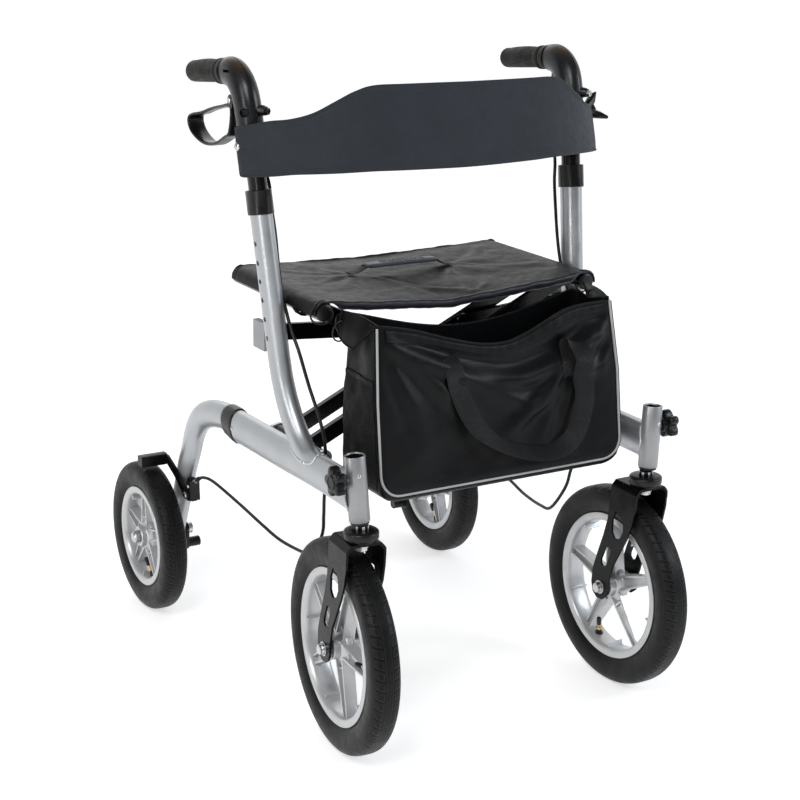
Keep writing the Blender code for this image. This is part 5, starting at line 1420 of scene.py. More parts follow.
def wob(x, y, k=1.0):
    """Smooth unrepeating waviness, about -1 to 1."""
    return (sin(x * 0.071 * k + 1.3 * sin(y * 0.043 * k + 0.4)) + sin(y * 0.083 * k + 1.7 * sin(x * 0.037 * k + 2.1))
            + 0.6 * sin((x + y) * 0.129 * k + 0.9) + 0.5 * sin((x - 1.7 * y) * 0.101 * k + 2.7)) / 2.6


def stitches(pts, normal, dash=2.6, gap=1.5, r=0.27, lift=0.12):
    """Row of short stitches along a path that lies on cloth."""
    total = length(pts)
    n_ = max(2, int(total / (dash + gap)))
    fine = even(pts, n_ * 5 + 1)
    out = None
    for i in range(n_):
        seg = fine[i * 5:i * 5 + 4]
        nn = normal[min(len(normal) - 1, int(i / n_ * len(normal)))] if isinstance(normal, list) else normal
        nn = np.array(nn, float)
        seg = [seg[0] - nn * 0.15, seg[1] + nn * lift, seg[2] + nn * lift, seg[3] - nn * 0.15]
        rod = round_rod(seg, [r * 0.7, r, r, r * 0.7], 5)
        if out is None:
            out = [[], []]
        k_ = len(out[0])
        out[0] += rod.v
        out[1] += [tuple(a + k_ for a in q) for q in rod.f]
    return Body(out[0], out[1])


def swell(ob, pressure, cap, steps=20, quality=5, bend=0.6):
    """Let the padding fill out: cloth with pressure, points of the group pin held; the result is written to the mesh."""
    scene = bpy.context.scene
    md = ob.modifiers.new("cloth", "CLOTH")
    st = md.settings
    st.quality = quality
    st.mass = 0.25
    st.tension_stiffness = 18.0
    st.compression_stiffness = 18.0
    st.shear_stiffness = 8.0
    st.bending_stiffness = bend
    st.use_pressure = True
    st.uniform_pressure_force = pressure
    st.effector_weights.gravity = 0.0
    st.vertex_group_mass = "pin"
    md.point_cache.frame_start = 1
    md.point_cache.frame_end = steps
    for f_ in range(1, steps + 1):
        scene.frame_set(f_)
    dg = bpy.context.evaluated_depsgraph_get()
    ev = ob.evaluated_get(dg)
    me_ = ev.to_mesh()
    n_ = len(ob.data.vertices)
    new = np.empty(n_ * 3)
    me_.vertices.foreach_get("co", new)
    ev.to_mesh_clear()
    old = np.empty(n_ * 3)
    ob.data.vertices.foreach_get("co", old)
    new, old = new.reshape(-1, 3), old.reshape(-1, 3)
    d = new - old
    l_ = np.linalg.norm(d, axis=1)
    d *= (np.minimum(l_, cap * S) / np.maximum(l_, 1e-12))[:, None]
    ob.modifiers.remove(md)
    ob.data.vertices.foreach_set("co", (old + d).reshape(-1))
    ob.data.update()
    scene.frame_set(1)


# ---------------------------------------------------------------- back strap
BACK = [(-295, -84, 845, 776), (-291.5, -99, 846.5, 778), (-281, -113, 850, 780), (-262, -130, 855, 782), (-240, -148, 858.4, 785.3),
        (-215, -166, 867, 787), (-190, -181.5, 882, 788.5), (-165, -193, 896, 790), (-140, -201.5, 903.8, 791), (-97, -209, 905, 790.7),
        (0, -213, 905, 789.5), (97, -209, 904.6, 791), (140, -201.5, 904, 791.8), (165, -193, 900.5, 791.3), (190, -181.5, 887, 790),
        (215, -166, 873, 788), (240, -148, 859, 785.5), (262, -130, 853, 783), (281, -113, 849, 781), (291.5, -99, 846.5, 779),
        (295, -84, 845, 776)]
brow = even_by(catmull([(x, y, 0.0, a, b) for x, y, a, b in BACK], 12), 3, 211)
bnorm = []
for i in range(len(brow)):
    a, b = brow[max(0, i - 1)], brow[min(len(brow) - 1, i + 1)]
    t_ = unit([b[0] - a[0], b[1] - a[1], 0])
    nn = np.array([t_[1], -t_[0], 0.0])
    if nn[1] > 0 and abs(b[0]) < 260:
        nn = -nn
    bnorm.append(nn)
# keep one sense all the way: outwards, away from the user
for i in range(len(bnorm)):
    ref = np.array([brow[i][0] * 0.6, brow[i][1] + 20.0, 0.0])
    if np.dot(bnorm[i], ref) < 0:
        bnorm[i] = -bnorm[i]

def lean(x, z):
    """The strap leans back with the uprights."""
    k_ = 0.165 if abs(x) > 250.0 else 0.075 + 0.09 * abs(x) / 250.0
    up_ = min(1.0, max(0.0, (z - 776.0) / 69.0))
    # drawn tight over the casing above and looser below on one side, the other way round on the other
    dx = -6.0 * up_ * ease(x, 225.0, 285.0) if x > 0 else (2.4 + 2.4 * (1 - up_)) * ease(-x, 225.0, 285.0)
    return np.array([dx, k_ * (z - 812.0), 0.0])


PROF = [0.0, 0.012, 0.03, 0.052, 0.062, 0.072, 0.10, 0.15, 0.22, 0.30, 0.38, 0.46, 0.54, 0.62, 0.70, 0.78, 0.85, 0.90, 0.928,
        0.938, 0.948, 0.97, 0.988, 1.0]


def pad_half(v):
    """Half thickness over the height of the strap."""
    e = min(v, 1 - v)
    if e < 0.052:
        return 1.2 + 1.7 * sqrt(max(0.0, 1 - ((e - 0.028) / 0.030) ** 2))
    if e < 0.072:
        return 1.75
    return 1.75 + 1.1 * ease(e, 0.072, 0.22)


bloops, bw, pins = [], [], []
run = 0.0
for i, (x, y, zero, zt, zb) in enumerate(brow):
    if i:
        run += float(np.hypot(x - brow[i - 1][0], y - brow[i - 1][1]))
    edge_ = min(i, len(brow) - 1 - i)
    k_ = 1.0 if edge_ > 5 else 0.90 + 0.10 * sqrt(max(0.0, 1 - ((5 - edge_) / 5.0) ** 2))
    mid, hh = (zt + zb) / 2, (zt - zb) / 2 * k_
    th = 1.0 if edge_ > 1 else (0.8 if edge_ == 1 else 0.45)
    front, rear = [], []
    for v_ in PROF:
        z = mid + hh * (2 * v_ - 1)
        e = min(v_, 1 - v_)
        h = pad_half(v_) * th
        soft = ease(e, 0.07, 0.2)
        pk = 0.28 * soft * wob(x * 2.2, z * 1.4, 0.8) + 0.5 * soft * sin(pi * v_) * wob(x, z * 0.6, 0.30)
        front.append(np.array([x, y, z]) + lean(x, z) + bnorm[i] * (h + pk))
        rear.append(np.array([x, y, z]) + lean(x, z) - bnorm[i] * (h - pk * 0.5))
    lp = front + rear[::-1]
    bloops.append(lp)
    held = edge_ < 2
    for j, v_ in enumerate(PROF + PROF[::-1]):
        e = min(v_, 1 - v_)
        bw.append((run * S, (mid + hh * (2 * v_ - 1)) * S, 0.0))
        pins.append(held or e < 0.085)
pad = skin(bloops, wv=bw)
back_ob = put("back_strap", pad, "back_cover", None, angle=62.0)
vg = back_ob.vertex_groups.new(name="pin")
vg.add([i for i, p_ in enumerate(pins) if p_], 1.0, "REPLACE")
swell(back_ob, 2.2, 2.2, steps=14)
md = back_ob.modifiers.new("fine", "SUBSURF")
md.levels = md.render_levels = 1
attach(back_ob, "handle_right")
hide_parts("backrest")

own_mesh(back_ob)

# hem stitches, snap studs at both ends
sb_rows = None
for which, vv in (("top", 0.918), ("low", 0.082)):
    for sg in (1.0, -1.0):
        pts, nr = [], []
        for i, (x, y, zero, zt, zb) in enumerate(brow):
            edge_ = min(i, len(brow) - 1 - i)
            if edge_ < 3:
                continue
            k_ = 1.0 if edge_ > 5 else 0.90 + 0.10 * sqrt(max(0.0, 1 - ((5 - edge_) / 5.0) ** 2))
            mid, hh = (zt + zb) / 2, (zt - zb) / 2 * k_
            z = mid + hh * (2 * vv - 1)
            pts.append(np.array([x, y, z]) + lean(x, z) + bnorm[i] * sg * 1.95)
            nr.append(bnorm[i] * sg)
        row_ = stitches(pts, nr, 2.8, 1.6, 0.26)
        sb_rows = row_ if sb_rows is None else sb_rows + row_
st_ob = put("back_stitches", sb_rows, "thread", "handle_right", angle=70.0)
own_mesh(st_ob)
for side, sx in (("left", 1), ("right", -1)):
    stud = turned(((292.2 if sx > 0 else -293.0), -89.0, 818.0), (sx * 0.98, -0.2, 0), [(0.0, 5.6), (1.2, 5.6), (2.4, 4.8), (3.2, 2.8), (3.3, 0.1)], 28)
    ob = put("strap_stud_" + side, stud, "zinc_steel", "handle_right" if side == "right" else "handle_left", slot="steel")

# ---------------------------------------------------------------- seat
RX, RZ, RR = 217.0, 603.0, 14.2


def sag(x, y):
    """How far the sling hangs below the line between its rails, mm."""
    t_ = min(1.0, abs(x + 18.0 * (1 - abs(x) / 230.0)) / 205.0)
    deep = np.interp(y, [-198.0, -150.0, -100.0, -45.0, 10.0, 66.0], [16.5, 13.6, 9.6, 5.6, 4.0, 4.8])
    return float(deep) * (1 - t_) ** 0.9 * ease(t_, 1.06, 0.80)


def crease(x, y):
    """Height of the folds in the seat, mm."""
    h = -sag(x, y)
    # sharp folds that run from the strap's ends to the front hem, as pulled cloth does
    for x0, y0, x1, y1, am, wd in ((-70.0, -62.0, 34.0, -190.0, 2.6, 8.0), (-78.0, -60.0, -12.0, -188.0, 1.8, 6.5),
                                   (62.0, -60.0, 20.0, -185.0, 1.7, 7.0), (-100.0, -52.0, -205.0, -92.0, 1.3, 7.0),
                                   (-98.0, -38.0, -200.0, 22.0, 1.2, 8.0), (82.0, -38.0, 196.0, 30.0, 1.1, 8.0),
                                   (80.0, -52.0, 200.0, -120.0, 1.2, 8.0), (30.0, -190.0, 90.0, -128.0, 1.5, 6.0),
                                   (-10.0, -20.0, 40.0, 52.0, 1.0, 9.0)):
        L_ = sqrt((x1 - x0) ** 2 + (y1 - y0) ** 2)
        ux, uy = (x1 - x0) / L_, (y1 - y0) / L_
        al_ = ((x - x0) * ux + (y - y0) * uy) / L_
        if -0.1 < al_ < 1.1:
            d_ = (x - x0) * -uy + (y - y0) * ux + 5.0 * sin(al_ * 5.0 + x0)
            w2 = wd * (0.7 + 0.6 * al_)
            h += am * ease(al_, -0.1, 0.15) * (1 - ease(al_, 0.75, 1.1)) * (exp(-(d_ / w2) ** 2) - 0.55 * exp(-((d_ - 1.7 * w2) / w2) ** 2))
    for ax, sg, n1 in ((-88.0, -1.0, 7.0), (68.0, 1.0, 6.0)):
        dx, dy = x - ax, y + 45.0
        d = sqrt(dx * dx + dy * dy) + 1e-6
        a_ = atan2(dy, dx * sg)
        fan = 0.35 + 0.65 * ease(dx * sg, -40.0, 25.0)
        h += 1.3 * fan * exp(-(d / 120.0) ** 2) * ease(d, 6.0, 34.0) * sin(n1 * a_ + 0.8 * sin(d * 0.045) + (0.4 if sg > 0 else 1.1))
    # soft pulls between the rails
    h += 0.9 * exp(-((y + 150.0 + 18.0 * sin(x * 0.021)) / 17.0) ** 2) * cos(x * 0.012)
    h -= 0.8 * exp(-((y + 118.0 - 14.0 * sin(x * 0.017 + 1.0)) / 13.0) ** 2)
    h += 0.8 * exp(-((y - 18.0 + 12.0 * sin(x * 0.019 + 2.0)) / 15.0) ** 2)
    h += 0.55 * wob(x, y, 0.55)
    return h * ease(207.0 - abs(x), 0.0, 26.0) + 0.22 * wob(x * 1.4, y * 2.0, 1.6)


ys = [-198.0 + 264.0 * i / 88 for i in range(89)]
prof = []
for q in (-6.0, 4.0, 14.0, 24.0, 34.0, 44.0, 54.0, 64.0, 74.0, 84.0):
    prof.append((RX + (RR + 0.6) * cos(radians(q)), RZ + RR * sin(radians(q)), cos(radians(q)), sin(radians(q))))
prof.insert(0, (RX + RR + 0.9, 600.4, 1.0, 0.0))
top_x = [RX - 2.0 - 4.3 * i for i in range(0, 100) if RX - 2.0 - 4.3 * i > 0.5]
prof += [(x, 617.3 - 2.2 * ease(RX - x, 0.0, 60.0) * (0.4 + 0.6 * ease(RX - x, 40, 200)), 0.0, 1.0) for x in top_x]
full = prof + [(0.0, 615.1, 0.0, 1.0)] + [(-x, z, -nx, nz) for x, z, nx, nz in reversed(prof)]
arc = [0.0]
for a, b in zip(full, full[1:]):
    arc.append(arc[-1] + sqrt((b[0] - a[0]) ** 2 + (b[1] - a[1]) ** 2))
SEAT_W, SEAT_L = arc[-1], 264.0
loops, wv_ = [], []
for y in ys:
    top, low = [], []
    for (x, z, nx, nz), s_ in zip(full, arc):
        e = ease(min(y + 198.0, 66.0 - y), 0.0, 12.0)
        h = crease(x, y) + sag(x, y) * ease(207.0 - abs(x), 0.0, 26.0)
        h = h * e * (1.0 if nz > 0.95 else 0.35) - (sag(x, y) * ease(207.0 - abs(x), 0.0, 26.0) if nz > 0.95 else 0.0)
        h += 0.5 * (1 - ease(min(abs(y + 185.0), abs(y - 53.0)), 0.0, 3.2)) * -1.0
        if nz > 0.95 and -70.0 < x < 50.0:
            h = min(h, 1.0) if abs(y + 45.0) < 13.0 else h
        top.append((x + nx * (1.15 + h), y, z + nz * (1.15 + h)))
        low.append((x + nx * (-0.35 + h * 0.9), y, z + nz * (-0.35 + h * 0.9)))
    loops.append(top + low[::-1])
    wv_ += [(s_ * S, y * S, 0.0) for s_ in arc] + [(s_ * S, y * S, 0.0) for s_ in reversed(arc)]
seat = skin(loops, wv=wv_)
seat_ob = put("seat_cloth", seat, "seat_nylon", None, angle=50.0)
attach(seat_ob, "rail_right")
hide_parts("seat_fabric")


def hem_roll(y0, sgn):
    """Rolled hem across the front or the back edge, thin where it passes over the rails."""
    loops_, w_ = [], []
    for i in range(121):
        x = -230.0 + 460.0 * i / 120
        over = ease(abs(x), 190.0, 207.0)
        rz_ = 6.2 * (1 - over) + 1.8 * over
        zc = (612.0 - sag(x, y0)) * (1 - over) + 617.3 * over
        if abs(x) > 214.0:
            q = (abs(x) - 214.0) / (RR + 3.0)
            zc = RZ + sqrt(max(4.0, (RR + 1.2) ** 2 - (abs(x) - RX) ** 2)) if abs(x) > RX else zc
        zc += 0.35 * sin(x * 0.06) + 0.25 * wob(x, 3.0, 1.5)
        ry_ = 4.2 * (1 - over) + 1.9 * over
        lp = []
        for k_ in range(18):
            q = 2 * pi * k_ / 18
            rip = 1.0 + 0.05 * sin(q * 2 + x * 0.13) + 0.03 * sin(x * 0.31 + q)
            lp.append((x, y0 + sgn * ry_ * cos(q) * rip, zc + rz_ * sin(q) * rip))
            w_.append((x * S, (q * 4.0) * S, 0.0))
        loops_.append(lp)
    return skin(loops_, wv=w_)


hem_f = put("seat_hem_front", hem_roll(-197.0, 1.0), "seat_hem", None, angle=60.0)
hem_r = put("seat_hem_rear", hem_roll(64.5, 1.0), "seat_hem", None, angle=60.0)
lines = None
for yy in (-186.6, 54.6):
    pts = [(x, yy, 616.2 + 1.1 * ease(abs(x), 40.0, 205.0) + crease(x, yy))
           for x in np.linspace(-205.0, 205.0, 60)]
    row_ = stitches(pts, (0, 0, 1), 2.8, 1.6, 0.26)
    lines = row_ if lines is None else lines + row_
seat_st = put("seat_stitches", lines, "thread", None, angle=70.0)
for ob in (hem_f, hem_r, seat_st):
    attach(ob, "rail_right")
for ob in (seat_ob, hem_f, hem_r, seat_st):
    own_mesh(ob)

# pull strap over the seat with its moulded grip
wp = [(-98.0, 616.4), (-90.0, 616.8), (-82.0, 618.6), (-75.0, 622.0), (-69.0, 624.6), (-62.0, 625.2), (40.0, 625.2), (48.0, 624.4),
      (55.0, 621.0), (61.0, 617.4), (68.0, 615.8), (76.0, 615.4)]
wpc = catmull([(x, -45.0, z) for x, z in wp], 5)
strap = strip(wpc, (0, 0, 1), 19.0, 1.8, across=6)
strap_ob = put("pull_strap", strap, "strap_black", None, angle=50.0)
gl = []
xs_ = [-68.0, -67.4, -66.0, -63.0, -58.0] + [-54.0 + 1.0 * i for i in range(0, 91)] + [40.0, 44.0, 46.6, 47.8, 48.2]
for x in xs_:
    e = min(x + 68.0, 48.2 - x)
    k_ = sqrt(max(0.02, 1 - (max(0.0, 6.0 - e) / 6.0) ** 2))
    hy, hz = 9.8 * (0.72 + 0.28 * k_), 3.4 * (0.45 + 0.55 * k_)
    bow = 0.8 * cos(pi * (x + 10.0) / 130.0)
    slot_ = 0.0
    if -46.0 < x < 30.0:
        ph = ((x + 46.0) / 7.6) % 1.0
        slot_ = 1.7 * ease(ph, 0.10, 0.24) * (1 - ease(ph, 0.62, 0.76))
    lp = []
    for k2 in range(40):
        q = 2 * pi * k2 / 40
        cx_, cz_ = cos(q), sin(q)
        yy = hy * abs(cx_) ** 0.55 * (1 if cx_ >= 0 else -1)
        zz = hz * abs(cz_) ** 0.6 * (1 if cz_ >= 0 else -1)
        if cz_ > 0 and abs(yy) < 6.4:
            zz -= slot_
        lp.append((x, -45.0 + yy, 624.6 + bow + zz))
    gl.append(lp)
grip_ob = put("pull_grip", skin(gl), "grip_slate", None, angle=32.0)
box_st = None
for x0, x1 in ((-95.0, -82.0), (62.5, 75.0)):
    zs_ = (617.3, 619.4) if x0 < 0 else (617.4, 616.2)
    for pts in ([(x0, -51.5, zs_[0]), (x1, -51.5, zs_[1])], [(x0, -38.5, zs_[0]), (x1, -38.5, zs_[1])],
                [(x0, -51.5, zs_[0]), (x0, -38.5, zs_[0])], [(x0, -51.5, zs_[0]), (x1, -38.5, zs_[1])]):
        row_ = stitches([np.array(p, float) + np.array([0, 0, 0.3]) for p in pts], (0, 0, 1), 2.4, 1.4, 0.26)
        box_st = row_ if box_st is None else box_st + row_
pst = put("pull_stitches", box_st, "thread", None, angle=70.0)
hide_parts("seat_pull_handle")
for ob in (strap_ob, grip_ob, pst):
    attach(ob, "rail_right")
    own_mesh(ob)
# cloth loops that tie the corners of the seat to the rails
loops_b = None
for side, sx in (("left", 1), ("right", -1)):
    ring_pts = [(sx * (RX + 1.0 + 16.4 * cos(q)), -190.0 - 4.0 * sin(q * 2), RZ - 0.6 + 16.2 * sin(q)) for q in np.linspace(0, 2 * pi, 40)[:-1]]
    ob = put("corner_loop_" + side, round_loop(ring_pts, 1.35, 10), "strap_black", "rail_" + side, angle=80.0)

# ---------------------------------------------------------------- bag
LEV = [(364.0, 178.0, -318.0, -214.0), (368.0, 188.0, -321.5, -211.8), (376.0, 195.5, -323.5, -210.4), (384.0, 198.0, -324.0, -210.0),
       (500.0, 197.0, -309.0, -209.0), (598.0, 190.0, -292.0, -209.0), (612.0, 189.0, -289.0, -209.0)]


def lev(z):
    zs = [l_[0] for l_ in LEV]
    return [float(np.interp(z, zs, [l_[c] for l_ in LEV])) for c in (1, 2, 3)]


def plan(z, n_front=76, n_side=20, n_rear=40, cf=7.0, cr=12.0, inset=0.0):
    """Outline of the bag at one height as (x, y, nx, ny, part)."""
    hx, yf, yr = lev(z)
    hx, yf, yr = hx - inset, yf + inset, yr - inset
    out = []
    for i in range(n_front):
        out.append((-hx + cf + (2 * hx - 2 * cf) * i / (n_front - 1), yf, 0.0, -1.0, "f"))
    for q in (-67.5, -45.0, -22.5):
        out.append((hx - cf + cf * cos(radians(q)), yf + cf + cf * sin(radians(q)), cos(radians(q)), sin(radians(q)), "c"))
    for i in range(n_side):
        out.append((hx, yf + cf + (yr - cr - yf - cf) * i / (n_side - 1), 1.0, 0.0, "s"))
    for q in (22.5, 45.0, 67.5):
        out.append((hx - cr + cr * cos(radians(q)), yr - cr + cr * sin(radians(q)), cos(radians(q)), sin(radians(q)), "r"))
    for i in range(n_rear):
        out.append((hx - cr - (2 * hx - 2 * cr) * i / (n_rear - 1), yr, 0.0, 1.0, "b"))
    for q in (112.5, 135.0, 157.5):
        out.append((-hx + cr + cr * cos(radians(q)), yr - cr + cr * sin(radians(q)), cos(radians(q)), sin(radians(q)), "r"))
    for i in range(n_side):
        out.append((-hx, yr - cr - (yr - cr - yf - cf) * i / (n_side - 1), -1.0, 0.0, "s"))
    for q in (202.5, 225.0, 247.5):
        out.append((-hx + cf + cf * cos(radians(q)), yf + cf + cf * sin(radians(q)), cos(radians(q)), sin(radians(q)), "c"))
    return out


# height of the front edge across the bag; it rises sooner on the user's left
EDGE_X = np.linspace(-190.0, 190.0, 96)
EDGE_Z = np.interp(EDGE_X, [-190, -138, -86, -34, 0, 18, 45, 70, 100, 122, 155, 190],
                   [601.0, 590.5, 574.0, 561.0, 558.0, 559.0, 566.0, 576.0, 588.0, 594.0, 596.5, 597.0])
EDGE_Z = np.convolve(np.pad(EDGE_Z, 4, mode="edge"), np.ones(9) / 9.0, mode="valid")


def rim_z(x, y, part):
    """Height of the open edge round the bag; the user's right corner hangs a little higher."""
    u_ = abs(x) / 190.0
    high = 601.0 if x < 0 else 597.0
    if part == "f" or part == "c":
        return float(np.interp(x, EDGE_X, EDGE_Z))
    if part == "b":
        return high - (high - 566.0) * max(0.0, cos(pi / 2 * min(1.0, u_))) ** 1.1
    return high - 5.0 * sin(pi * min(1.0, max(0.0, (y + 292.0) / 80.0)))


def bag_fold(x, y, z, part):
    """How far the cloth moves out from the plain shell, mm."""
    if part in ("f", "c"):
        e = ease(190.0 - abs(x), 0.0, 22.0) * ease(z - 376.0, 0.0, 16.0)
        up_ = rim_z(x, y, "f") - z
        h = 0.0
        # drape between the corners: a long fold that hangs under the open edge
        zc = 517.0 + 62.0 * (abs(x - 22.0) / 178.0) ** 1.5
        d = (z - zc) / 13.0
        h += 7.8 * (exp(-(d + 0.75) ** 2) - 0.95 * exp(-(d - 0.75) ** 2)) * ease(up_, 4.0, 22.0)
        zc = 478.0 + 92.0 * (abs(x - 60.0) / 190.0) ** 1.4
        d = (z - zc) / 12.0
        h += 4.4 * (exp(-(d + 0.7) ** 2) - 0.8 * exp(-(d - 0.7) ** 2)) * ease(up_, 20.0, 40.0)
        # diagonal pulls from the upper corners and the ends of the carrying strap
        for sx_, cx0, cz0, k1, am, w0, a0, a1 in ((1.0, 188.0, 592.0, 0.98, 4.6, 6.0, 60.0, 250.0), (1.0, 188.0, 592.0, 1.9, 3.0, 6.0, 50.0, 190.0),
                                          (-1.0, 188.0, 592.0, 0.95, 3.6, 6.0, 60.0, 210.0), (-1.0, 188.0, 592.0, 2.2, 2.6, 6.0, 60.0, 200.0),
                                          (1.0, 112.0, 520.0, 0.85, 3.8, 7.0, 30.0, 160.0), (-1.0, 80.0, 540.0, 2.4, 2.6, 6.0, 30.0, 150.0),
                                          (1.0, 100.0, 505.0, 2.6, 2.4, 7.0, 20.0, 120.0)):
            px_ = cx0 - sx_ * x
            pz_ = cz0 - z
            dist = (pz_ - k1 * px_) / sqrt(1 + k1 * k1)
            along = (px_ + k1 * pz_) / sqrt(1 + k1 * k1)
            wd_ = w0 + max(0.0, along) * 0.045
            h += 1.5 * am * (exp(-(dist / wd_) ** 2) - 0.5 * exp(-((dist - 1.6 * wd_) / wd_) ** 2)) * ease(along, 10.0, a0) * (1 - ease(along, a1 * 0.55, a1))
        # pulls under the ends of the carrying strap
        for ax in (-90.0, 118.0):
            dx_ = x - ax
            h += 1.6 * exp(-((dx_ + 8.0 * sin(z * 0.03)) / 11.0) ** 2) * ease(z, 420.0, 500.0) * (1 - ease(z, 536.0, 556.0))
        h += 2.0 * wob(x * 0.9, z * 0.9, 0.42) + 0.6 * wob(x, z, 1.1)
        # lies back a little behind the hanging strap, so that the strap stays in front
        h -= 3.6 * exp(-((z - 420.0) / 50.0) ** 2) * ease(170.0 - abs(x - 20.0), 0.0, 60.0)
        return max(-9.0, min(h, 7.5)) * e
    if part == "s":
        e = ease(z - 384.0, 0.0, 20.0)
        return (1.6 * wob(y * 1.3, z * 0.8, 0.9) - 5.0 * exp(-((y + 250.0) / 20.0) ** 2) * ease(z, 470.0, 595.0)
                + 2.2 * sin(pi * min(1.0, max(0.0, (y + 317.0) / 100.0)))) * e
    if part == "b":
        return -abs(0.8 * wob(x, z, 0.6)) * ease(z - 384.0, 0.0, 20.0) - 0.3
    return 0.0


def bag_rows(inset, base_drop=0.0):
    rows_ = []
    ts = [0.0, 0.012, 0.03, 0.055, 0.09] + [0.09 + 0.91 * i / 44 for i in range(1, 45)]
    for t_ in ts:
        row_ = []
        ref = plan(392.0)
        for i in range(len(ref)):
            x0, y0, _, _, part = ref[i]
            zt = rim_z(x0, y0, part)
            z = 364.0 + base_drop + (zt - 364.0 - base_drop) * t_
            x, y, nx, ny, _ = plan_cache(round(z, 1), inset)[i]
            h = bag_fold(x, y, z, part) * (1.0 - 0.0 * inset)
            row_.append((x + nx * h, y + ny * h, z))
        rows_.append(row_)
    return rows_


_plan = {}


def plan_cache(z, inset):
    k_ = (z, inset)
    if k_ not in _plan:
        _plan[k_] = plan(z, inset=inset)
    return _plan[k_]


outer_b = bag_rows(0.0)
inner_b = bag_rows(1.7, 1.7)
ring_w = [0.0]
ref = plan(392.0)
for a, b in zip(ref, ref[1:]):
    ring_w.append(ring_w[-1] + sqrt((a[0] - b[0]) ** 2 + (a[1] - b[1]) ** 2))
bwv = []
for row_ in outer_b + inner_b[::-1]:
    bwv += [(w_ * S, p[2] * S, 0.0) for w_, p in zip(ring_w, row_)]
bag_body = skin(outer_b + inner_b[::-1], wv=bwv)
bag_ob = put("bag_shell", bag_body, "bag_polyester", None, angle=55.0)
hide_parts("bag")
BAG = [bag_ob]


def on_front(x, z, out=0.0):
    hx, yf, yr = lev(z)
    return np.array([x, yf - bag_fold(x, yf, z, "f") - out, z])


# bound edge round the opening and the stitched channel below it on the front
edge_pts = [np.array(p) + np.array([0, 0, 0.4]) for p in outer_b[-1]]
edge_pts = even(catmull(edge_pts, 2, closed=True), 420)
BAG.append(put("bag_edge", round_loop(edge_pts, 1.7, 10), "bag_binding", None, angle=80.0))
band = []
nb = []
for x in np.linspace(-178.0, 178.0, 120):
    zt = rim_z(x, 0, "f")
    z = zt - 9.5
    band.append(on_front(x, z, 0.9))
    nb.append(np.array([0.0, -1.0, 0.12]))
loops_, w_ = [], []
run = 0.0
for i, p in enumerate(band):
    if i:
        run += float(np.linalg.norm(p - band[i - 1]))
    lp = []
    for dz, o_ in ((7.6, 0.5), (7.0, 1.3), (3.5, 1.75), (0.0, 1.9), (-3.5, 1.75), (-7.0, 1.3), (-7.6, 0.5), (-7.0, -0.4), (0.0, -0.4),
                   (7.0, -0.4)):
        x = p[0]
        q_ = on_front(x, p[2] + dz, 0.0)
        rip = 0.25 * sin(x * 0.35 + 1.2 * sin(x * 0.05)) * (1 if o_ > 1 else 0)
        lp.append((q_[0], q_[1] - o_ - rip, q_[2]))
        w_.append((run * S, dz * S, 0.0))
    loops_.append(lp)
BAG.append(put("bag_channel", skin(loops_, wv=w_), "bag_binding", None, angle=60.0))
sr = None
for dz in (5.6, -5.9):
    pts = [on_front(p[0], p[2] + dz, 1.75) for p in band]
    row_ = stitches(pts, (0, -1, 0), 2.6, 1.5, 0.25)
    sr = row_ if sr is None else sr + row_
BAG.append(put("bag_stitches", sr, "thread", None, angle=70.0))

# grey piping round the front panel
pip = []
for z in np.linspace(599.0, 404.0, 32):
    hx, yf, yr = lev(z)
    pip.append((-(hx - 0.6), yf + 0.4, z))
for q in np.linspace(0.0, 90.0, 12)[1:]:
    z = 404.0 - 31.0 * sin(radians(q))
    hx, yf, yr = lev(404.0)
    pip.append((-(hx - 0.6 - 31.0 * (1 - cos(radians(q)))), lev(z)[1] + 0.2, z))
left_half = pip
bottom = [(x, lev(373.0)[1] + 0.2, 373.0) for x in np.linspace(-160.0, 160.0, 30)]
right_half = [(-x, y, z) for x, y, z in reversed(left_half)]
path = left_half + bottom + right_half
path = even(catmull(path, 4), 340)
BAG.append(put("bag_piping", round_rod(path, 1.75, 12), "piping_grey", None, angle=80.0))
tape = strip([p + np.array([0, 1.0, 0]) for p in path[::2]], (0, -1, 0), 8.5, 1.2)
BAG.append(put("bag_piping_tape", tape, "bag_binding", None, angle=60.0))

# carrying strap
HP = [(-83.0, 0, 550.0), (-81.5, 0, 540.0), (-79.0, 0, 528.0), (-73.0, -2.5, 506.0), (-62.0, -5.5, 476.0), (-49.0, -9.0, 453.0),
      (-30.0, -12.0, 436.0), (-4.0, -13.5, 420.0), (32.0, -14.0, 406.0), (68.0, -13.5, 401.0), (98.0, -12.5, 408.0), (116.0, -11.0, 424.0),
      (125.0, -10.0, 450.0), (128.0, -11.0, 475.0), (128.0, -13.0, 503.0), (125.0, -15.0, 530.0), (120.0, -12.5, 546.0),
      (115.0, -7.0, 550.5), (112.0, -3.0, 541.0), (110.5, -1.4, 523.0), (110.0, -1.2, 502.0)]
HN = [(0, -1, 0.05)] * 4 + [(-0.15, -1, 0.2), (-0.2, -0.9, 0.5), (-0.1, -0.72, 0.72), (0, -0.6, 0.82), (0, -0.55, 0.86), (0.0, -0.55, 0.86),
      (-0.2, -0.68, 0.7), (-0.35, -0.86, 0.4), (-0.38, -0.93, 0.12), (-0.35, -0.95, 0.0), (-0.3, -0.95, 0.1), (-0.2, -0.9, 0.4),
      (0, -0.4, 0.9), (0.3, 0.5, 0.8), (0.2, 0.95, 0.2), (0.1, 1.0, 0.0), (0.1, 1.0, 0.0)]
rows_ = []
for (x, dy, z), nn in zip(HP, HN):
    base_ = on_front(x, z)[1] if z > 470 or abs(x) > 150 else min(on_front(x, z)[1], -316.0)
    rows_.append([x, base_ + dy - 0.9, z] + list(unit(nn)))
rr = even_by(catmull(rows_, 12), 3, 190)
hstrap = strip([r[:3] for r in rr], [unit(r[3:6]) for r in rr], 28.0, 1.7, across=8)
BAG.append(put("bag_handle", hstrap, "webbing", None, angle=55.0))
bx = None
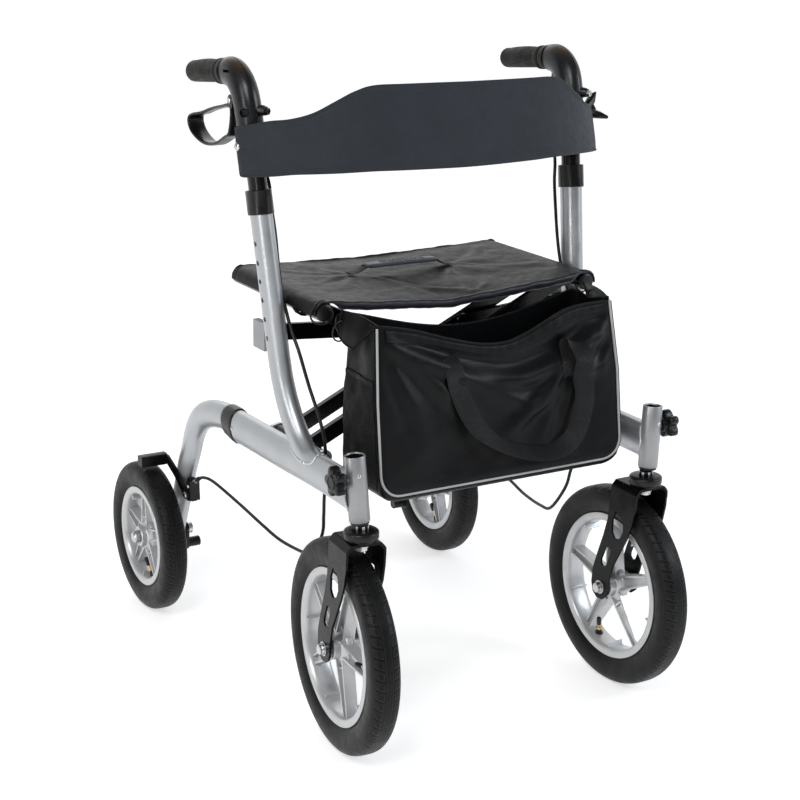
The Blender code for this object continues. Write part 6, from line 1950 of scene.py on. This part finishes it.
for x0, x1, z0, z1, dy in ((-94.0, -70.5, 526.0, 547.0, 2.0), (99.0, 121.5, 503.0, 524.0, 2.2)):
    def at_(x, z):
        return on_front(x, z, 0.0) + np.array([0, -dy - (0.6 if x > 0 else 0.0), 0])
    for pts in ([at_(x0, z0), at_(x1, z0)], [at_(x1, z0), at_(x1, z1)], [at_(x1, z1), at_(x0, z1)], [at_(x0, z1), at_(x0, z0)],
                [at_(x0, z0), at_(x1, z1)], [at_(x0, z1), at_(x1, z0)]):
        row_ = stitches(pts, (0, -1, 0), 2.4, 1.3, 0.27)
        bx = row_ if bx is None else bx + row_
BAG.append(put("bag_handle_stitches", bx, "thread", None, angle=70.0))

# mesh pockets on both gussets, with a bound hem
for side, sx in (("left", 1), ("right", -1)):
    loops_, w_ = [], []
    for i in range(25):
        y = -312.0 + 95.0 * i / 24
        lp_o, lp_i = [], []
        for j in range(29):
            z = 380.0 + 148.0 * j / 28
            hx, yf, yr = lev(z)
            yy = max(y, yf + 7.0)
            puff = 3.2 * sin(pi * i / 24) * sin(pi * min(1.0, (j + 2) / 30.0)) ** 0.7
            h = bag_fold(sx * hx, yy, z, "s") + 0.8 + puff + 0.5 * wob(y * 2, z, 1.5)
            lp_o.append((sx * (hx + h), yy, z))
            lp_i.append((sx * (hx + h - 0.7), yy, z))
        loops_.append(lp_o + lp_i[::-1])
        w_ += [(y * S, (380.0 + 148.0 * j / 28) * S, 0.0) for j in range(29)] + [(y * S, (380.0 + 148.0 * j / 28) * S, 0.0) for j in range(28, -1, -1)]
    BAG.append(put("mesh_pocket_" + side, skin(loops_, wv=w_), "mesh_pocket", None, angle=60.0))
    tp = [np.array(lp[28]) + np.array([0, 0, -3.0]) for lp in loops_]
    hemp = strip(tp, (sx, 0, 0), 9.0, 2.2)
    BAG.append(put("pocket_hem_" + side, hemp, "bag_binding", None, angle=60.0))

# corner flaps, cord loops
for side, sx in (("left", 1), ("right", -1)):
    # a four-cornered flap that holds the bag's corner to the end of the seat rail
    qa, qb, qc, qd = (np.array(q_, float) for q_ in ((186.5, -290.5, 602.5), (198.0, -214.0, 609.0), (206.0, -217.0, 576.0),
                                                     (206.5, -258.0, 566.0)))
    loops_, edge_ = [], []
    nf = unit(np.array([0.93, -0.22, 0.3]))
    for i in range(23):
        u_ = i / 22.0
        top_, low_ = qa + (qb - qa) * u_, qd + (qc - qd) * u_
        top_ = top_ + np.array([0.0, 0.0, 3.5 * sin(pi * u_)])
        low_ = low_ + np.array([0.0, 0.0, -3.0 * sin(pi * u_)])
        lo, li = [], []
        for j in range(15):
            v_ = j / 14.0
            bul = 5.0 * sin(pi * v_) * (0.35 + 0.65 * sin(pi * u_)) + 0.8 * sin(7 * u_ + 3 * v_)
            p_ = top_ + (low_ - top_) * v_ + nf * (bul + 1.4)
            q_ = p_ - nf * 1.8
            lo.append((sx * p_[0], p_[1], p_[2]))
            li.append((sx * q_[0], q_[1], q_[2]))
        loops_.append(lo + li[::-1])
        edge_.append(lo[-1])
    BAG.append(put("corner_flap_" + side, skin(loops_), "bag_polyester", None, angle=55.0))
    rim_path = [loops_[0][q_] for q_ in range(0, 15)] + edge_[1:-1] + [loops_[-1][q_] for q_ in range(14, -1, -1)]
    rim_path = even(catmull([np.array(q_, float) - np.array([sx * 0.9, 0, 0]) for q_ in rim_path], 2), 120)
    BAG.append(put("flap_binding_" + side, round_rod(rim_path, 1.9, 10), "bag_binding", None, angle=80.0))
    for kk, (cy_, cz_, r1, r2, tilt) in enumerate(((-214.0, 590.0, 11.0, 13.5, 0.35), (-221.0, 582.0, 9.5, 14.5, -0.2))):
        pts = []
        for q in np.linspace(0, 2 * pi, 33)[:-1]:
            pts.append((sx * (200.0 + 6.0 * kk + r1 * cos(q) + 3.0 * tilt * sin(q)), cy_ + 4.5 * cos(q + 0.7) * (1 if kk else -1),
                        cz_ + r2 * sin(q)))
        BAG.append(put("cord_loop_%d_%s" % (kk, side), round_loop(pts, 1.15, 8), "cable_jacket", None, angle=80.0))
for ob in BAG:
    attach(ob, "rail_right")
    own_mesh(ob)

# area of the seat cloth as cut
SEAT_AREA = SEAT_W * SEAT_L * 1e-6
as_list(BAG[1:])


# ================================================================ studio
def floor_mesh():
    v, f = [], []
    ys = [-30.0, 3.2] + [3.2 + 1.5 * sin(radians(a)) for a in range(10, 91, 10)] + [4.7]
    zs = [-0.0004, -0.0004] + [1.5 * (1 - cos(radians(a))) for a in range(10, 91, 10)] + [8.0]
    for y, z in zip(ys, zs):
        v += [(-30.0, y, z), (30.0, y, z)]
    for i in range(len(ys) - 1):
        f.append((2 * i, 2 * i + 1, 2 * i + 3, 2 * i + 2))
    me = bpy.data.meshes.new("studio_floor")
    me.from_pydata(v, [], f)
    for p in me.polygons:
        p.use_smooth = True
    return me


me = floor_mesh()
rotz = Matrix.Rotation(AZ, 4, "Z")
me.transform(rotz)
floor = bpy.data.objects.new("studio_floor", me)
bpy.context.scene.collection.objects.link(floor)
me.materials.append(MATS["studio_floor"])
